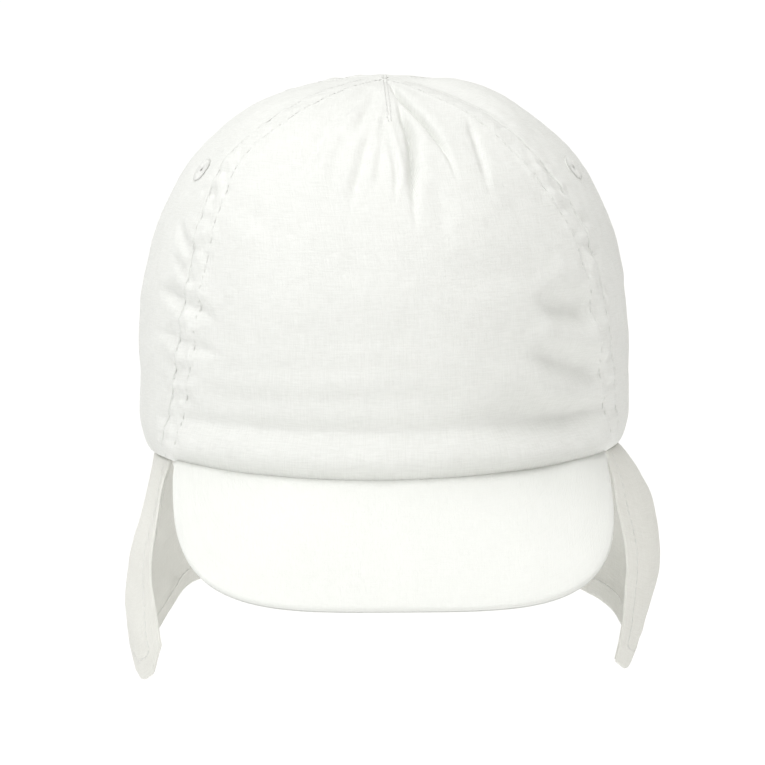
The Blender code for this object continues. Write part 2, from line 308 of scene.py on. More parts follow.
@dataclass(frozen=True)
class CrownForm:
    """The smooth outer form of the crown, without its folds.

    Attributes:
        tuck: how far the rim is drawn in under the side's full width.
        tuck_height: how far up the side is drawn in.
        wall_top: where the dome begins.
        dome_power: the power of the dome's outline, 2 for an oval and more for a squarer one.
        apex_rise: how far the gathered top stands up.
        apex_rise_radius: how far from the axis that rise reaches.
        apex_opening: the radius at which the panels' tips end.
        steps: how far aside its tangents are taken.
    """

    rim: Rim = field(default_factory=Rim)
    height: float = 0.1123
    tuck: float = 0.0042
    tuck_height: float = 0.0120
    wall_top: float = 0.0248
    dome_power: float = 2.46
    apex_rise: float = 0.0013
    apex_rise_radius: float = 0.0090
    apex_opening: float = 0.00006
    steps: tuple[float, float] = (0.5, 0.004)

    @cached_property
    def profile(self) -> dict[str, Numbers]:
        """The crown's outline up its side, from rim to top.

        Returns:
            Lists by name: the length so far, the stand-out past the rim, the scale towards the
            axis and the height.
        """
        quarter = np.linspace(0, math.pi / 2, 90)
        opening = self.apex_opening / (self.rim.half_width + self.tuck)
        dome = np.linspace(0, math.acos(opening ** (self.dome_power / 2)), 600)
        stand_out = np.concatenate([self.tuck * np.sin(quarter), np.full(len(dome), self.tuck)])
        scale = np.concatenate([np.ones(len(quarter)), np.cos(dome) ** (2 / self.dome_power)])
        risen = np.sin(dome) ** (2 / self.dome_power)
        dome_height = self.wall_top + (self.height - self.wall_top) * risen
        height = np.concatenate([self.tuck_height * (1 - np.cos(quarter)), dome_height])
        reach = (self.rim.half_width + stand_out) * scale
        length = np.concatenate([[0], np.cumsum(np.hypot(np.diff(reach), np.diff(height)))])
        return {"length": length, "stand_out": stand_out, "scale": scale, "height": height}

    @property
    def length(self) -> float:
        """The crown's length from rim to top along its side."""
        return float(self.profile["length"][-1])

    def point(self, azimuth: Numbers, share: Numbers) -> Numbers:
        """Points of the form.

        Args:
            azimuth: the places' azimuths, in degrees.
            share: the places' shares.

        Returns:
            The points, one row each.
        """
        along = share * self.length
        stand_out, scale, height = (
            np.interp(along, self.profile["length"], self.profile[name])
            for name in ("stand_out", "scale", "height")
        )
        rim = self.rim.point(azimuth)
        outline = (rim + self.rim.outward(azimuth) * stand_out[:, None]) * scale[:, None]
        rise = self.apex_rise * np.exp(-scale * self.rim.half_width / self.apex_rise_radius)
        dip = rim[:, 2] * (1 - height / self.height)
        return np.column_stack([outline[:, 0], outline[:, 1], height + rise + dip])

    def normal(self, azimuth: Numbers, share: Numbers) -> Numbers:
        """The direction out of the form at each pair of azimuth and share."""
        return surface_normal(self.point, azimuth, share, self.steps)

    def spread(self, azimuth: Numbers, share: Numbers) -> Numbers:
        """How far one radian of azimuth reaches.

        Args:
            azimuth: the places' azimuths, in degrees.
            share: the places' shares.

        Returns:
            The metres that a radian covers at each place.
        """
        half = self.steps[0]
        side = self.point(azimuth + half, share) - self.point(azimuth - half, share)
        return np.linalg.norm(side, axis=1) / math.radians(2 * half)


@dataclass(frozen=True)
class Crease:
    """A line along which the cloth is pressed in, with a lip on each side of it.

    Attributes:
        route: (azimuth, share) pairs that the line runs through.
        depth: how deep it is, or how high if negative, in metres.
        width: how far to each side the hollow reaches, in metres.
        lip: the height of the lips as a share of the depth.
        lip_place: how many widths aside the lips stand.
        power: 2 for a soft hollow, less for a sharp one.
    """

    route: tuple[tuple[float, float], ...]
    depth: float
    width: float
    lip: float = 0.4
    lip_place: float = 1.6
    power: float = 2.0

    def line(self, form: CrownForm, samples: int = 48) -> Numbers:
        """Points along the crease.

        Args:
            form: the crown that the crease lies on.
            samples: how many points are taken.

        Returns:
            The points on the crown's form, one row each.
        """
        stops = np.arange(len(self.route), dtype=float)
        places = np.linspace(0, stops[-1], samples)
        route = np.array(self.route)
        azimuth = read_smoothly(places, stops, route[:, 0])
        share = read_smoothly(places, stops, route[:, 1])
        return form.point(azimuth, share)

    def relief(self, form: CrownForm, points: Numbers) -> Numbers:
        """How far the crease moves each point outwards.

        Args:
            form: the crown that the crease lies on.
            points: places on the crown's form, one row each.

        Returns:
            The move of each point in metres, below zero where it is pressed in.
        """
        moved = np.zeros(len(points))
        line = self.line(form)
        reach = 2.1 * self.lip_place * self.width
        near = ((points > line.min(0) - reach) & (points < line.max(0) + reach)).all(1)
        if not near.any():
            return moved
        offset = points[near][:, None, :] - line[None, :, :]
        away = (offset**2).sum(2)
        nearest = away.argmin(1)
        heading = unit(np.gradient(line, axis=0))[nearest]
        rows = np.arange(len(nearest))
        beyond = np.einsum("ij,ij->i", offset[rows, nearest], heading)
        step = np.linalg.norm(np.diff(line, axis=0), axis=1).mean()
        past = np.clip(beyond, -step, step)
        aside = np.sqrt(np.maximum(away[rows, nearest] - past**2, 0))
        along = np.clip((nearest + past / step) / (len(line) - 1), 0, 1)
        taper = ease(along, 0.0, 0.34) * (1 - ease(along, 0.66, 1.0))
        width = self.width * (0.5 + 0.5 * taper)
        lips = self.lip * bell(aside / width - self.lip_place, 0.6 * self.lip_place)
        moved[near] = -self.depth * taper * (bell(aside / width, 1.0, self.power) - lips)
        return moved


class Cloth(Protocol):
    """A sewn surface that pieces are laid on, by pairs of places across and up it."""

    def point(self, across: Numbers, up: Numbers) -> Numbers:
        """Points of the surface, one row for each pair of places."""

    def normal(self, across: Numbers, up: Numbers) -> Numbers:
        """The direction out of the surface at each pair of places."""


@dataclass(frozen=True)
class StitchRow:
    """A row of machine stitches on a cloth.

    Attributes:
        across: the row's places across the cloth, from its start to its end.
        up: its places up the cloth.
        along: its length so far at each place, in metres.
        pitch: the distance from one needle hole to the next.
        shift: how far the holes are moved along the row.
        visible: the share of a pitch that a stitch covers.
    """

    across: Numbers
    up: Numbers
    along: Numbers
    pitch: float = 0.0030
    shift: float = 0.0
    visible: float = 0.78

    def ends(self, cloth: Cloth) -> tuple[Numbers, Numbers, Numbers]:
        """Where each stitch leaves and enters the cloth, and the direction out of the cloth.

        Args:
            cloth: the surface that the row lies on.

        Returns:
            The starts, the ends and the directions, one row for each stitch.
        """
        first = math.ceil((self.along[0] - self.shift) / self.pitch) * self.pitch + self.shift
        holes = np.arange(first, self.along[-1] - self.pitch, self.pitch)
        margin = (1 - self.visible) / 2 * self.pitch

        def place(offset: float) -> tuple[Numbers, Numbers]:
            """The places across and up the cloth at an offset from each hole."""
            along = holes + offset
            return np.interp(along, self.along, self.across), np.interp(along, self.along, self.up)

        return (
            cloth.point(*place(margin)),
            cloth.point(*place(self.pitch - margin)),
            cloth.normal(*place(self.pitch / 2)),
        )


@dataclass(frozen=True)
class SeamStation:
    """A seam's azimuth at a share of the crown's length."""

    share: float
    azimuth: float


def stations(*places: tuple[float, float]) -> tuple[SeamStation, ...]:
    """A seam's stations, from (share, azimuth) pairs."""
    return tuple(SeamStation(*place) for place in places)


@dataclass(frozen=True)
class Seam:
    """A sewn line up the crown, with its topstitched allowance to one side.

    Attributes:
        name: what the seam joins.
        stations: where it runs.
        inward: 1 if the allowance lies towards rising azimuths, and -1 if not.
        rows: how far from the seam each topstitch row is, on the allowance's side, in metres.
        seed: picks its unevenness.
        pucker: how strongly its cloth is drawn up, from 0 to 1.
        groove_depth: the depth of the line between the panels.
        groove_width: how far that line reaches.
        row_dent: how deep the stitches pull the cloth in.
        row_width: how far that dent reaches.
        allowance_rise: how far the allowance lifts the cloth.
        puff: how far the cloth swells between the rows.
        mottle: the height of the small bumps along the sewing.
        reach: how far beyond the rows the relief goes.
        fade_spread: the metres to a radian between which the relief sets in.
        pitch: the distance between needle holes.
        row_shift: how far the second row's holes are moved, as a share of the pitch.
        top_share: where the stitching ends.
        bottom_share: where it starts.
    """

    name: str
    stations: tuple[SeamStation, ...]
    inward: int
    rows: tuple[float, ...] = (0.0009, 0.0090)
    seed: int = 1
    pucker: float = 1.0
    groove_depth: float = 0.00046
    groove_width: float = 0.0007
    row_dent: float = 0.00014
    row_width: float = 0.0008
    allowance_rise: float = 0.00030
    puff: float = 0.00036
    mottle: float = 0.00020
    reach: float = 0.012
    fade_spread: tuple[float, float] = (0.001, 0.012)
    pitch: float = 0.0030
    row_shift: float = 0.4
    top_share: float = 0.950
    bottom_share: float = 0.012

    def azimuth(self, share: Numbers) -> Numbers:
        """The seam's azimuth at each share."""
        return read_column(self.stations, share, "share", "azimuth")

    def slant(self, form: CrownForm, share: Numbers) -> Numbers:
        """How steeply the seam runs.

        Args:
            form: the crown's form.
            share: the places' shares.

        Returns:
            The cosine of the seam's angle to the line straight up the crown at each place.
        """
        step = 0.004
        turn = np.radians(self.azimuth(share + step) - self.azimuth(share - step))
        lean = turn * form.spread(self.azimuth(share), share) / (2 * step * form.length)
        return 1 / np.sqrt(1 + lean**2)

    def aside(self, form: CrownForm, azimuth: Numbers, share: Numbers) -> Numbers:
        """How far each place lies to the allowance's side of the seam, in metres."""
        turn = np.radians(azimuth - self.azimuth(share))
        return self.inward * turn * form.spread(azimuth, share) * self.slant(form, share)

    def length_at(self, form: CrownForm) -> tuple[Numbers, Numbers]:
        """The seam's length, counted from the rim.

        Args:
            form: the crown's form.

        Returns:
            Shares from bottom to top, and the seam's own length up to each.
        """
        share = np.linspace(0, 1, 400)
        line = form.point(self.azimuth(share), share)
        steps = np.linalg.norm(np.diff(line, axis=0), axis=1)
        return share, np.concatenate([[0], np.cumsum(steps)])

    def row_place(self, form: CrownForm, along: Numbers, row: float) -> tuple[Numbers, Numbers]:
        """The azimuth and share beside the seam at each length along it.

        Args:
            form: the crown's form.
            along: lengths along the seam from the rim, in metres.
            row: how far aside the places lie, in metres.

        Returns:
            The azimuths and the shares.
        """
        shares, lengths = self.length_at(form)
        share = np.interp(along, lengths, shares)
        azimuth = self.azimuth(share)
        turn = row / (form.spread(azimuth, share) * self.slant(form, share))
        return azimuth + self.inward * np.degrees(turn), share

    def stitch_rows(self, form: CrownForm) -> list[StitchRow]:
        """The topstitch rows beside the seam.

        Args:
            form: the crown's form.

        Returns:
            The rows, in the order of the seam's own list.
        """
        shares, lengths = self.length_at(form)
        low, high = np.interp([self.bottom_share, self.top_share], shares, lengths)
        along = np.linspace(low, high, 300)
        made = []
        for order, row in enumerate(self.rows):
            azimuth, share = self.row_place(form, along, row)
            shift = self.row_shift * order * self.pitch
            made.append(StitchRow(azimuth, share, along, self.pitch, shift))
        return made

    def relief(self, form: CrownForm, azimuth: Numbers, share: Numbers, aside: Numbers) -> Numbers:
        """How far the sewing moves each place outwards.

        Args:
            form: the crown's form.
            azimuth: the places' azimuths.
            share: the places' shares.
            aside: how far each place lies to the allowance's side of the seam.

        Returns:
            The move of each place in metres.
        """
        moved = np.zeros_like(aside)
        low, high = min(self.rows), max(self.rows)
        near = (aside > low - self.reach) & (aside < high + self.reach)
        aside, azimuth, share = aside[near], azimuth[near], share[near]
        shares, lengths = self.length_at(form)
        along = np.interp(share, shares, lengths)
        uneven = Ripple(self.seed, height=1.0, shortest=0.0060, longest=0.0150, count=6).over(along[:, None])
        fade = ease(form.spread(azimuth, share), *self.fade_spread)
        centre, half = (low + high) / 2, (high - low) / 2
        plateau = ease(aside, -0.0002, 0.0008) * (1 - ease(aside, high + 0.0004, high + 0.0022))
        raised = self.allowance_rise * plateau
        puffed = self.puff * bell(aside - centre, 1.4 * half) * (0.55 + 0.45 * uneven)
        drawn = ease(aside, -0.004, 0.001) * (1 - ease(aside, high - 0.001, high + 0.004))
        mottled = Ripple(
            self.seed + 50, height=self.mottle * self.pucker, shortest=0.0036, longest=0.0090, count=16
        )
        bumps = mottled.over(form.point(azimuth, share)) * drawn * ease(0.80 - share, 0.0, 0.35)
        dents = np.zeros_like(aside)
        for order, row in enumerate(self.rows):
            turns = along / self.pitch - self.row_shift * order
            needles = 0.7 + 0.3 * np.cos(2 * math.pi * turns)
            dents += bell(aside - row, self.row_width) * self.row_dent * needles
        groove = self.groove_depth * bell(aside, self.groove_width)
        moved[near] = fade * (raised + puffed + bumps - dents - groove)
        return moved

    def stiffness(self, aside: Numbers) -> Numbers:
        """The share of a crease's depth that the sewn layers let through at each place."""
        return 1 - 0.4 * bell(aside, 0.0032) - 0.25 * bell(aside - max(self.rows), 0.0024)

    def puckers(self, form: CrownForm) -> list[Crease]:
        """Short creases that the sewing draws across the seam.

        Args:
            form: the crown's form.

        Returns:
            The creases, from the rim upwards.
        """
        draw = np.random.default_rng(self.seed + 100)
        shares, lengths = self.length_at(form)
        made = []
        along = 0.010
        while along < lengths[-1] * 0.72:
            share = float(np.interp(along, lengths, shares))
            azimuth = float(self.azimuth(np.array([share]))[0])
            spread = float(form.spread(np.array([azimuth]), np.array([share]))[0])
            ahead = math.degrees(draw.uniform(0.005, 0.017) / spread) * self.inward
            behind = math.degrees(draw.uniform(0.003, 0.010) / spread) * self.inward
            drop = draw.uniform(-0.004, 0.022)
            ends = ((azimuth - behind, share + drop), (azimuth + ahead, share - drop * 1.3))
            route = (ends[0], (azimuth, share), ends[1])
            depth = draw.uniform(0.00010, 0.00042) * self.pucker
            made.append(Crease(route, depth, draw.uniform(0.0011, 0.0022), 0.3))
            along += draw.uniform(0.0048, 0.0100)
        return made


FRONT_LEFT_SEAM = Seam(
    "front_seam_left",
    stations(
        (0.00, 69.0),
        (0.08, 65.5),
        (0.20, 61.5),
        (0.34, 58.5),
        (0.48, 54.5),
        (0.60, 49.0),
        (0.70, 44.0),
        (0.82, 38.0),
        (1.00, 36.0),
    ),
    inward=-1,
    seed=3,
)
FRONT_RIGHT_SEAM = Seam(
    "front_seam_right",
    stations(
        (0.00, -65.0),
        (0.08, -61.5),
        (0.20, -57.5),
        (0.34, -55.5),
        (0.48, -55.5),
        (0.60, -56.5),
        (0.70, -51.0),
        (0.82, -44.0),
        (1.00, -40.0),
    ),
    inward=1,
    seed=8,
    groove_depth=0.00014,
)
BACK_LEFT_SEAM = Seam(
    "back_seam_left",
    stations((0.0, 114.0), (0.3, 112.0), (0.6, 110.0), (1.0, 106.0)),
    inward=1,
    seed=14,
    pucker=0.7,
)
BACK_RIGHT_SEAM = Seam(
    "back_seam_right",
    stations((0.0, -114.0), (0.3, -112.0), (0.6, -110.0), (1.0, -106.0)),
    inward=-1,
    seed=21,
    pucker=0.7,
)
CENTRE_BACK_SEAM = Seam(
    "centre_back_seam",
    stations((0.0, 180.0), (1.0, 180.0)),
    inward=1,
    rows=(-0.0028, 0.0028),
    seed=27,
    pucker=0.6,
)

# A crease's route runs through (azimuth, share) pairs, and its depth, width and lip follow
GATHERS = (
    Crease(
        ((3.8, 0.790), (4.6, 0.725), (6.2, 0.675), (6.1, 0.630), (5.6, 0.585), (5.2, 0.530), (5.0, 0.440)),
        depth=0.0042,
        width=0.0017,
        lip=0.06,
        lip_place=2.6,
    ),
    Crease(
        ((1.6, 0.90), (4.0, 0.838), (7.2, 0.78), (10.7, 0.73), (14.2, 0.675), (16.5, 0.62), (17.7, 0.53)),
        depth=0.0034,
        width=0.0014,
        lip=0.06,
        lip_place=2.6,
    ),
    Crease(
        ((30.4, 0.715), (29.4, 0.680), (28.2, 0.640), (27.0, 0.600), (26.2, 0.560), (25.4, 0.510)),
        depth=0.0011,
        width=0.0020,
        lip=0.06,
        lip_place=2.2,
        power=1.9,
    ),
    Crease(((-7.5, 0.840), (-8.5, 0.780), (-10.5, 0.700), (-12.5, 0.620)), 0.0010, 0.0024, 0.4),
    Crease(((-5.5, 0.740), (-8.0, 0.640), (-9.5, 0.570), (-12.0, 0.470)), 0.0011, 0.0022, 0.5, power=1.6),
    Crease(((-20.0, 0.790), (-22.5, 0.700), (-24.5, 0.620), (-26.0, 0.550)), 0.0008, 0.0034, 0.4),
    Crease(((-13.0, 0.860), (-15.5, 0.780), (-17.5, 0.690)), 0.0007, 0.0026, 0.4),
    Crease(((-14.5, 0.700), (-16.0, 0.610), (-15.5, 0.500)), 0.0007, 0.0028, 0.4),
    Crease(((11.0, 0.560), (12.0, 0.480), (11.5, 0.400)), 0.0004, 0.0034, 0.3),
    Crease(((-2.5, 0.720), (-3.6, 0.640), (-4.0, 0.540)), 0.0008, 0.0020, 0.3),
    Crease(
        ((-1.3, 0.715), (-0.8, 0.660), (0.4, 0.610), (0.9, 0.570), (0.6, 0.540), (-0.6, 0.490)),
        depth=0.0009,
        width=0.0010,
        lip=0.5,
        lip_place=1.8,
        power=1.5,
    ),
)
SEAM_FOLDS = (
    Crease(
        ((-70.0, 0.330), (-63.0, 0.325), (-56.5, 0.315), (-48.0, 0.300), (-41.0, 0.272)),
        depth=0.0018,
        width=0.0030,
        lip=0.15,
        power=1.6,
    ),
    Crease(
        ((-70.0, 0.252), (-60.0, 0.250), (-54.5, 0.240), (-46.5, 0.230), (-40.0, 0.222)),
        depth=0.0013,
        width=0.0028,
        lip=0.15,
        power=1.6,
    ),
    Crease(((-68.0, 0.475), (-62.0, 0.435), (-57.0, 0.410), (-51.0, 0.380)), 0.0010, 0.0026, 0.2),
    Crease(((-57.0, 0.540), (-53.0, 0.510), (-50.0, 0.470)), 0.0008, 0.0022, 0.2),
    Crease(((-54.0, 0.580), (-50.0, 0.540), (-46.5, 0.515)), 0.0005, 0.0020, 0.2),
    Crease(((-48.0, 0.505), (-37.5, 0.485), (-30.0, 0.450)), 0.0004, 0.0042, 0.3),
    Crease(((-66.0, 0.400), (-58.0, 0.372), (-51.0, 0.350)), 0.0006, 0.0024, 0.2),
    Crease(((-65.0, 0.195), (-56.0, 0.188), (-47.0, 0.172)), 0.0007, 0.0026, 0.2),
    Crease(((-63.0, 0.140), (-55.0, 0.136), (-47.0, 0.122)), 0.0006, 0.0024, 0.2),
    Crease(((31.0, 0.326), (42.0, 0.302), (49.0, 0.292), (60.0, 0.290)), 0.0047, 0.0068, 0.2),
    Crease(((29.0, 0.222), (40.0, 0.206), (49.0, 0.184), (60.0, 0.154)), 0.0045, 0.0066, 0.2),
    Crease(((10.0, 0.118), (31.0, 0.108), (46.0, 0.100), (63.0, 0.096)), 0.0034, 0.0080, 0.2),
    Crease(((49.0, 0.495), (55.0, 0.466), (62.0, 0.452)), 0.0009, 0.0024, 0.2),
    Crease(((50.0, 0.420), (57.5, 0.400), (63.0, 0.395)), 0.0009, 0.0024, 0.2),
    Crease(((52.0, 0.345), (59.0, 0.330), (66.0, 0.335)), 0.0006, 0.0022, 0.2),
    Crease(((46.0, 0.600), (50.5, 0.560), (56.0, 0.545)), 0.0006, 0.0022, 0.2),
    Crease(((48.0, 0.535), (53.0, 0.515), (59.0, 0.500)), 0.0007, 0.0022, 0.2),
)
BROAD_FOLDS = (
    Crease(((-57.0, 0.150), (-32.0, 0.148), (-5.0, 0.158), (22.0, 0.150)), 0.0005, 0.0042, 0.3),
    Crease(((-52.0, 0.205), (-33.0, 0.200), (-2.5, 0.210), (14.0, 0.205)), 0.0003, 0.0034, 0.3),
    Crease(((10.0, 0.395), (28.0, 0.372), (44.0, 0.368)), 0.0005, 0.0060, 0.3),
    Crease(((37.0, 0.970), (42.0, 0.820), (46.0, 0.620)), 0.0014, 0.0080, 0.2),
    Crease(((-41.0, 0.970), (-46.0, 0.820), (-52.0, 0.620)), 0.0010, 0.0080, 0.2),
    Crease(((70.0, 0.950), (92.0, 0.820), (110.0, 0.700)), -0.0013, 0.0150, 0.0),
    Crease(((96.0, 0.400), (100.0, 0.240), (97.0, 0.100)), 0.0010, 0.0070, 0.4),
    Crease(((-92.0, 0.420), (-98.0, 0.260), (-95.0, 0.110)), 0.0011, 0.0070, 0.4),
    Crease(((140.0, 0.560), (146.0, 0.380), (139.0, 0.180)), 0.0012, 0.0085, 0.4),
    Crease(((-150.0, 0.640), (-143.0, 0.430), (-149.0, 0.210)), 0.0012, 0.0085, 0.4),
    Crease(((165.0, 0.330), (150.0, 0.250), (128.0, 0.230)), 0.0008, 0.0060, 0.4),
    Crease(((-170.0, 0.300), (-155.0, 0.190), (-130.0, 0.170)), 0.0008, 0.0060, 0.4),
)


@dataclass
class CrownCloth:
    """The crown's outer face with its folds, seams and rolled lower edge.

    Attributes:
        roll_height: how far the rolled lower edge stands out.
        roll_share: the share at which the roll is fullest.
        roll_width: how far the roll reaches.
        roll_hollow: the depth of the hollow above it.
        roll_hollow_share: the share at which the hollow is deepest.
        roll_hollow_width: how far the hollow reaches.
        roll_azimuths: the azimuths between which the roll dies away at each side.
        fold_half: half the thickness of the folded lower edge.
        rim_hold: the distances from the rim between which the relief sets in.
        fade_spread: the metres to a radian between which the relief sets in.
        dart_pucker_shares: the top, the bottom and the step of the puckers below the dart.
        dart_lean: how many degrees those puckers' row leans for each whole share.
        slack: the cloth's broad unevenness.
        crumple: the cloth's fine unevenness.
    """

    form: CrownForm = field(default_factory=CrownForm)
    seams: tuple[Seam, ...] = (
        FRONT_LEFT_SEAM,
        FRONT_RIGHT_SEAM,
        BACK_LEFT_SEAM,
        BACK_RIGHT_SEAM,
        CENTRE_BACK_SEAM,
    )
    roll_height: float = 0.0021
    roll_share: float = 0.037
    roll_width: float = 0.0074
    roll_hollow: float = 0.0014
    roll_hollow_share: float = 0.098
    roll_hollow_width: float = 0.0050
    roll_azimuths: tuple[float, float] = (52.0, 72.0)
    fold_half: float = 0.00045
    rim_hold: tuple[float, float] = (0.0006, 0.0075)
    fade_spread: tuple[float, float] = (0.0005, 0.010)
    dart_pucker_shares: tuple[float, float, float] = (0.715, 0.600, 0.0145)
    dart_lean: float = 18.0
    slack: Ripple = Ripple(seed=5, height=0.00022, shortest=0.018, longest=0.055, count=14)
    crumple: Ripple = Ripple(seed=11, height=0.00005, shortest=0.005, longest=0.012, count=18)

    @cached_property
    def creases(self) -> list[Crease]:
        """Every crease on the crown.

        Returns:
            The folds, the puckers of each seam and those below the dart.
        """
        found = list(GATHERS + SEAM_FOLDS + BROAD_FOLDS)
        for seam in self.seams:
            found += seam.puckers(self.form)
        return found + self.dart_puckers()

    def dart_puckers(self) -> list[Crease]:
        """Short slanting creases that the stitching draws below the centre-front dart.

        Returns:
            The creases, from the top down.
        """
        top, bottom, step = self.dart_pucker_shares
        made = []
        for share in np.arange(top, bottom, -step):
            azimuth = 0.6 - (share - bottom) * self.dart_lean
            top_end = (azimuth - 4.6, share + 0.009)
            drawn = (top_end, (azimuth - 2.3, share + 0.002), (azimuth, share - 0.009))
            made.append(Crease(drawn, depth=0.00035, width=0.0007, lip=0.4))
        return made

    def rolled_edge(self, azimuth: Numbers, share: Numbers) -> Numbers:
        """The soft roll round the front's lower edge, with a slight hollow above it.

        Args:
            azimuth: the places' azimuths, in degrees.
            share: the places' shares.

        Returns:
            The move of each place outwards, in metres.
        """
        front = 1 - ease(np.abs(azimuth), *self.roll_azimuths)
        along = share * self.form.length
        rolled = self.roll_height * bell(along - self.roll_share * self.form.length, self.roll_width)
        above = along - self.roll_hollow_share * self.form.length
        hollow = self.roll_hollow * bell(above, self.roll_hollow_width, 1.5)
        return front * (rolled - hollow)

    def relief(self, azimuth: Numbers, share: Numbers) -> Numbers:
        """How far the cloth stands off the smooth form.

        Args:
            azimuth: the places' azimuths, in degrees.
            share: the places' shares.

        Returns:
            The move of each place outwards, in metres.
        """
        points = self.form.point(azimuth, share)
        fade = ease(self.form.spread(azimuth, share), *self.fade_spread)
        turned = (azimuth + 180) % 360 - 180
        held = ease(share * self.form.length, *self.rim_hold)
        total = (self.slack.over(points) + self.crumple.over(points)) * fade
        asides = []
        through = np.ones_like(share)
        for seam in self.seams:
            near = np.where(turned - seam.azimuth(share) < -180, turned + 360, turned)
            asides.append(seam.aside(self.form, near, share))
            through *= seam.stiffness(asides[-1])
        for crease in self.creases:
            total += crease.relief(self.form, points) * fade * through
        for seam, aside in zip(self.seams, asides):
            total += seam.relief(self.form, turned, share, aside)
        total = total * held + self.rolled_edge(azimuth, share)
        return total - self.fold_half * (1 - nose(share * self.form.length, self.fold_half))

    def normal(self, azimuth: Numbers, share: Numbers) -> Numbers:
        """The direction out of the crown at each pair of azimuth and share."""
        return self.form.normal(azimuth, share)

    def point(self, azimuth: Numbers, share: Numbers) -> Numbers:
        """Points of the outer face, one row for each pair of azimuth and share."""
        relief = self.relief(azimuth, share)
        return self.form.point(azimuth, share) + self.form.normal(azimuth, share) * relief[:, None]


class NodeGraph:
    """A material's nodes, added and linked by short calls."""

    def __init__(self, name: str) -> None:
        """Makes a material with its shader and nothing else.

        Args:
            name: the material's name.
        """
        self.material = bpy.data.materials.new(name)
        self.material.use_nodes = True
        self.tree = self.material.node_tree
        self.shader = self.tree.nodes["Principled BSDF"]

    def add(self, kind: str, settings: dict[str, object] | None = None, **inputs: object) -> bpy.types.Node:
        """Adds a node.

        Args:
            kind: the node's type, without the word ShaderNode.
            settings: the node's own options.
            **inputs: socket names with spaces as underscores, each a number, a colour or a socket.

        Returns:
            The new node.
        """
        node = self.tree.nodes.new("ShaderNode" + kind)
        for name, value in (settings or {}).items():
            setattr(node, name, value)
        for name, value in inputs.items():
            self.feed(node, name.replace("_", " "), value)
        return node

    def feed(self, node: bpy.types.Node, socket: str | int, value: object) -> None:
        """Links a socket to a node's input, or sets the input to a fixed value.

        Args:
            node: the node that is fed.
            socket: the input's name or place.
            value: the socket to link, or the fixed value.
        """
        entry = node.inputs[socket]
        if isinstance(value, bpy.types.NodeSocket):
            self.tree.links.new(value, entry)
        else:
            entry.default_value = value

    def math(self, operation: str, *values: object) -> bpy.types.NodeSocket:
        """Adds a Math node.

        Args:
            operation: what it works out.
            *values: one, two or three numbers or sockets.

        Returns:
            The socket with its result.
        """
        node = self.tree.nodes.new("ShaderNodeMath")
        node.operation = operation
        for place, value in enumerate(values):
            self.feed(node, place, value)
        return node.outputs[0]

    def blend(self, share: object, low: object, high: object) -> bpy.types.NodeSocket:
        """Mixes two numbers or sockets.

        Args:
            share: how much of the second is taken.
            low: the first of the two.
            high: the second of the two.

        Returns:
            The socket with the mix.
        """
        node = self.add("Mix", {"data_type": "FLOAT"})
        for place, value in zip((0, 2, 3), (share, low, high)):
            self.feed(node, place, value)
        return node.outputs[0]

    def ramp(
        self,
        tone: bpy.types.NodeSocket,
        span: tuple[float, float],
        low: tuple[float, float, float],
        high: tuple[float, float, float],
    ) -> bpy.types.NodeSocket:
        """Turns a tone into a colour between two.

        Args:
            tone: the socket that is read.
            span: the tones at which the two colours are reached.
            low: the first colour.
            high: the second colour.

        Returns:
            The socket with the colour.
        """
        node = self.add("ValToRGB", Fac=tone)
        for element, position, colour in zip(node.color_ramp.elements, span, (low, high)):
            element.position = position
            element.color = (*colour, 1.0)
        return node.outputs["Color"]


